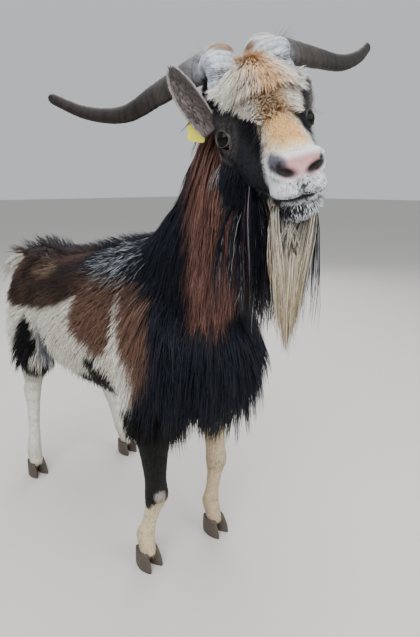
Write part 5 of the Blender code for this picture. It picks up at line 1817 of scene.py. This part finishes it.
def coat_material():
    """Goat hair: strands grown with smooth scales, so that each lock has a soft gloss."""
    material, tree, shader = new_material("goat_hair")
    # 1.5 mm across and 17 mm along: a bundle of some hairs, as one hair is too fine to show
    noise = streaks(tree, (650, 650, 60))
    # The strands' own colours, with the painted shade at their roots
    colour = measure(tree, "coat_colour", "Color")
    shade = mixed(tree, 1.0, colour, ranged(tree, noise, 0.3, 0.7, 0.62, 1.35), "MULTIPLY")
    surfaced(tree, shader, shade, 0.50, 0.18)
    bumped(tree, shader, noise, 0.25, 0.0005)
    return material


def skin_material():
    """Skin under short fur, which looks brushed downwards. Bare skin is kept moist and shines more."""
    material, tree, shader = new_material("short_fur")
    colour, bare = measure(tree, "coat_colour", "Color"), measure(tree, "bare")
    # 1.1 mm across and 6 mm along: a bundle of some hairs, as one hair is too fine to show
    strokes = streaks(tree, (900, 900, 170), 4.0)
    furred = mixed(tree, 1.0, colour, ranged(tree, strokes, 0.3, 0.7, 0.60, 1.30), "MULTIPLY")
    surfaced(tree, shader, mixed(tree, bare, furred, colour), 0.5, 0.22)
    tree.links.new(ranged(tree, bare, 0, 1, 0.62, 0.38), shader.inputs["Roughness"])
    # 1.6 mm: the grain of a goat's nose is finer, and is drawn as coarse as it needs to show
    pebbles = add_node(tree, "TexVoronoi", [(object_place(tree), "Vector")], Scale=620.0)
    bumped(tree, shader, mixed(tree, bare, strokes, pebbles.outputs["Distance"]), 0.5, 0.0008)
    return material


def horn_material():
    """Horn: grown in layers and rubbed, so it is a dull grey with pale fibres, and brown along the blade. Its
    upper rim is painted paler as a painted highlight, and its rings carry painted shade in their grooves.
    """
    material, tree, shader = new_material("horn_keratin")
    # 7 mm clouds of colour, and 2.4 mm fibres: real ones are finer, and are drawn coarser so that they show
    noise = streaks(tree, (150, 150, 150), 6.0)
    fibres = streaks(tree, (420, 420, 420), 4.0)
    blade = colour_ramp(tree, measure(tree, "along"), HORN_COLOURS)
    # Painted highlight: pale grey along the marked upper rim
    shade = mixed(tree, measure(tree, "rim"), blade, opaque("8a8783"))
    shade = mixed(tree, 1.0, shade, ranged(tree, noise, 0.3, 0.7, 0.66, 1.28), "MULTIPLY")
    # Painted shade and highlight: darker in the grooves between the growth rings, lighter on their crests
    shade = mixed(tree, 1.0, shade, ranged(tree, measure(tree, "ring"), 0, 1, 0.50, 1.12), "MULTIPLY")
    crust = mixed(tree, noise, opaque("33241a"), opaque("8a6a4a"))
    surfaced(tree, shader, mixed(tree, measure(tree, "scar"), shade, crust), 0.50, 0.22)
    bumped(tree, shader, fibres, 0.45, 0.0007)
    return material


def eye_material():
    """A goat's eye: a dark amber iris and a level slot of a pupil, and tears over it that shine sharply."""
    material, tree, shader = new_material("wet_eye")
    parts = add_node(tree, "SeparateXYZ", [(measure(tree, "gaze", "Vector"), "Vector")])
    across = add_node(tree, "CombineXYZ", [(parts.outputs["X"], "X"), (parts.outputs["Y"], "Y")])
    radius = add_node(tree, "VectorMath", [(across.outputs["Vector"], 0)], operation="LENGTH")
    flatten = add_node(tree, "VectorMath", [(across.outputs["Vector"], 0)], operation="MULTIPLY")
    flatten.inputs[1].default_value = (1.0, PUPIL_FLATNESS, 1.0)
    slot = add_node(tree, "VectorMath", [(flatten.outputs["Vector"], 0)], operation="LENGTH")
    iris = colour_ramp(tree, radius.outputs["Value"], IRIS_COLOURS)
    outside = ranged(tree, slot.outputs["Value"], *PUPIL_EDGE, 0, 1)
    surfaced(tree, shader, mixed(tree, outside, opaque("07070a"), iris), 0.03, 0.20)
    shader.inputs["IOR"].default_value = TEAR_IOR
    return material


def ear_material():
    """Ear skin: so thin that it lets a little light in, brownish inside and with grey down outside."""
    material, tree, shader = new_material("thin_ear_skin")
    # 3 mm: down is finer, and is drawn as coarse as it needs to show
    noise = streaks(tree, (300, 300, 300), 4.0)
    outside = mixed(tree, noise, opaque("2e2c2e"), opaque("5a5657"))
    inside = mixed(tree, noise, opaque("3c3435"), opaque("665a5a"))
    surfaced(tree, shader, mixed(tree, measure(tree, "inner"), outside, inside), 0.6)
    shader.inputs["Subsurface Weight"].default_value = 0.08
    bumped(tree, shader, noise, 0.3, 0.0005)
    return material


def grained_material(name, scales, detail, colours, roughness, strength, distance):
    """A plain material of two colours, with one grain for both its colour and its relief."""
    material, tree, shader = new_material(name)
    grain = streaks(tree, scales, detail)
    surfaced(tree, shader, mixed(tree, grain, *(opaque(colour) for colour in colours)), roughness)
    bumped(tree, shader, grain, strength, distance)
    return material


def hoof_material():
    """Hoof: keratin grown in rings 1.4 mm apart and worn on the ground, so it looks dull and dusty."""
    return grained_material("hoof_keratin", (60, 60, 700), 3.0, ("2a2420", "574c41"), 0.6, 0.5, 0.0006)


def lid_material():
    """Lids: hairless skin, creased by blinking and a little moist, so it has a faint sheen."""
    # 2 mm: the real grain is finer, and is drawn as coarse as it needs to show
    return grained_material("lid_skin", (500, 500, 500), 5.0, ("1c1b1d", "534e4d"), 0.45, 0.5, 0.0005)


def tag_material():
    """Ear tag: yellow polyurethane, moulded smooth and scuffed in 5 mm patches, so it shines unevenly."""
    yellows = ("d9cf2e", "efe65a")
    return grained_material("tag_polyurethane", (220, 220, 220), 6.0, yellows, 0.38, 0.15, 0.0003)


def floor_material():
    """A plain pale studio floor, painted matt, so that it shows only shadows."""
    material, _, shader = new_material("studio_floor")
    shader.inputs["Base Color"].default_value = (*FLOOR_GREY, 1)
    shader.inputs["Roughness"].default_value = 0.85
    return material


# Putting it together

def placed(obj, material, slot, *nodes):
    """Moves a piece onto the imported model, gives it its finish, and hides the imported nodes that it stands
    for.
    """
    obj.data.transform(Matrix.Translation(SHIFT))
    obj.data.materials.clear()
    obj.data.materials.append(material)
    obj.data.shade_smooth()
    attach(obj, "root")
    if nodes:
        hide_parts(*nodes)
    return obj


def dress_skin():
    skin = make_skin()
    points, _ = vertex_arrays(skin.data)
    paint_points(skin.data, "coat_colour", markings(points) * 0.9)
    mark_points(skin.data, "bare", bareness(points))
    roots = Skin(skin)
    hair = coat_material()
    for kinds, first_seed in ((HAIRS, 1000), (SHORT_HAIRS, 2000)):
        for number, kind in enumerate(kinds):
            for piece in coat(roots, kind, first_seed + 10 * number):
                placed(piece, hair, kind.slot)
    placed(skin, skin_material(), "coat_flank", *FLESH)
    return roots.tree


def dress_head(tree):
    hair, eye_look, lid_look = bpy.data.materials["goat_hair"], eye_material(), lid_material()
    horn_look, ear_look, tag_look = horn_material(), ear_material(), tag_material()
    for side, number in (("right", -1), ("left", 1)):
        places = HORN_RIGHT if number < 0 else HORN_LEFT
        placed(horn("horn_bone_" + side, places, number), horn_look, "horn", "horn_" + side)
        placed(eyeball("eyeball_" + side, number), eye_look, "eye", "eye_" + side)
        placed(lids("lids_" + side, number, tree), lid_look, "coat_face")
        placed(ear("ear_cup_" + side, number), ear_look, "ear_skin", "ear_" + side)
        placed(ear_hair("ear_hair_" + side, number), hair, "ear_skin")
        placed(ear_tag("tag_plate_" + side, number), tag_look, "tag", "tag_" + side)


def dress_feet():
    look = hoof_material()
    for name, rows in LEGS.items():
        middle = rows[-1][0].copy()
        middle.z = 0
        for label, number in (("inner", -1), ("outer", 1)):
            sign = number if name.endswith("left") else -number
            place = middle + Vector((sign * CLAW_APART, 0, 0))
            node = f"hoof_{name}_{label}"
            placed(claw(node.replace("hoof", "claw"), place, sign), look, "hoof", node)


# Camera and light

def stage():
    bm = bmesh.new()
    bmesh.ops.create_grid(bm, x_segments=1, y_segments=1, size=30)
    floor = mesh_object("floor", bm)
    floor.data.materials.append(floor_material())
    data = bpy.data.cameras.new("camera")
    data.sensor_fit = "VERTICAL"
    data.sensor_height = SENSOR
    data.lens = FOCAL_PIXELS / PHOTO_HEIGHT * SENSOR
    camera = scene_object("camera", data)
    camera.location = CAMERA_AT + SHIFT
    camera.rotation_euler = (math.pi / 2 - CAMERA_DOWN, 0, CAMERA_TURN)
    bpy.context.scene.camera = camera
    for name, place, size, power in LIGHTS:
        light = bpy.data.lights.new(name, "AREA")
        light.size = size
        light.energy = power
        lamp = scene_object(name, light)
        lamp.location = place
        lamp.rotation_euler = (LIT_PLACE - lamp.location).to_track_quat("-Z", "Y").to_euler()
    world = bpy.data.worlds.new("studio")
    bpy.context.scene.world = world
    world.use_nodes = True
    backdrop = world.node_tree.nodes["Background"]
    backdrop.inputs["Color"].default_value = (*STUDIO_GREY, 1)
    backdrop.inputs["Strength"].default_value = STUDIO_STRENGTH


dress_head(dress_skin())
dress_feet()
stage()
bpy.context.view_layer.update()
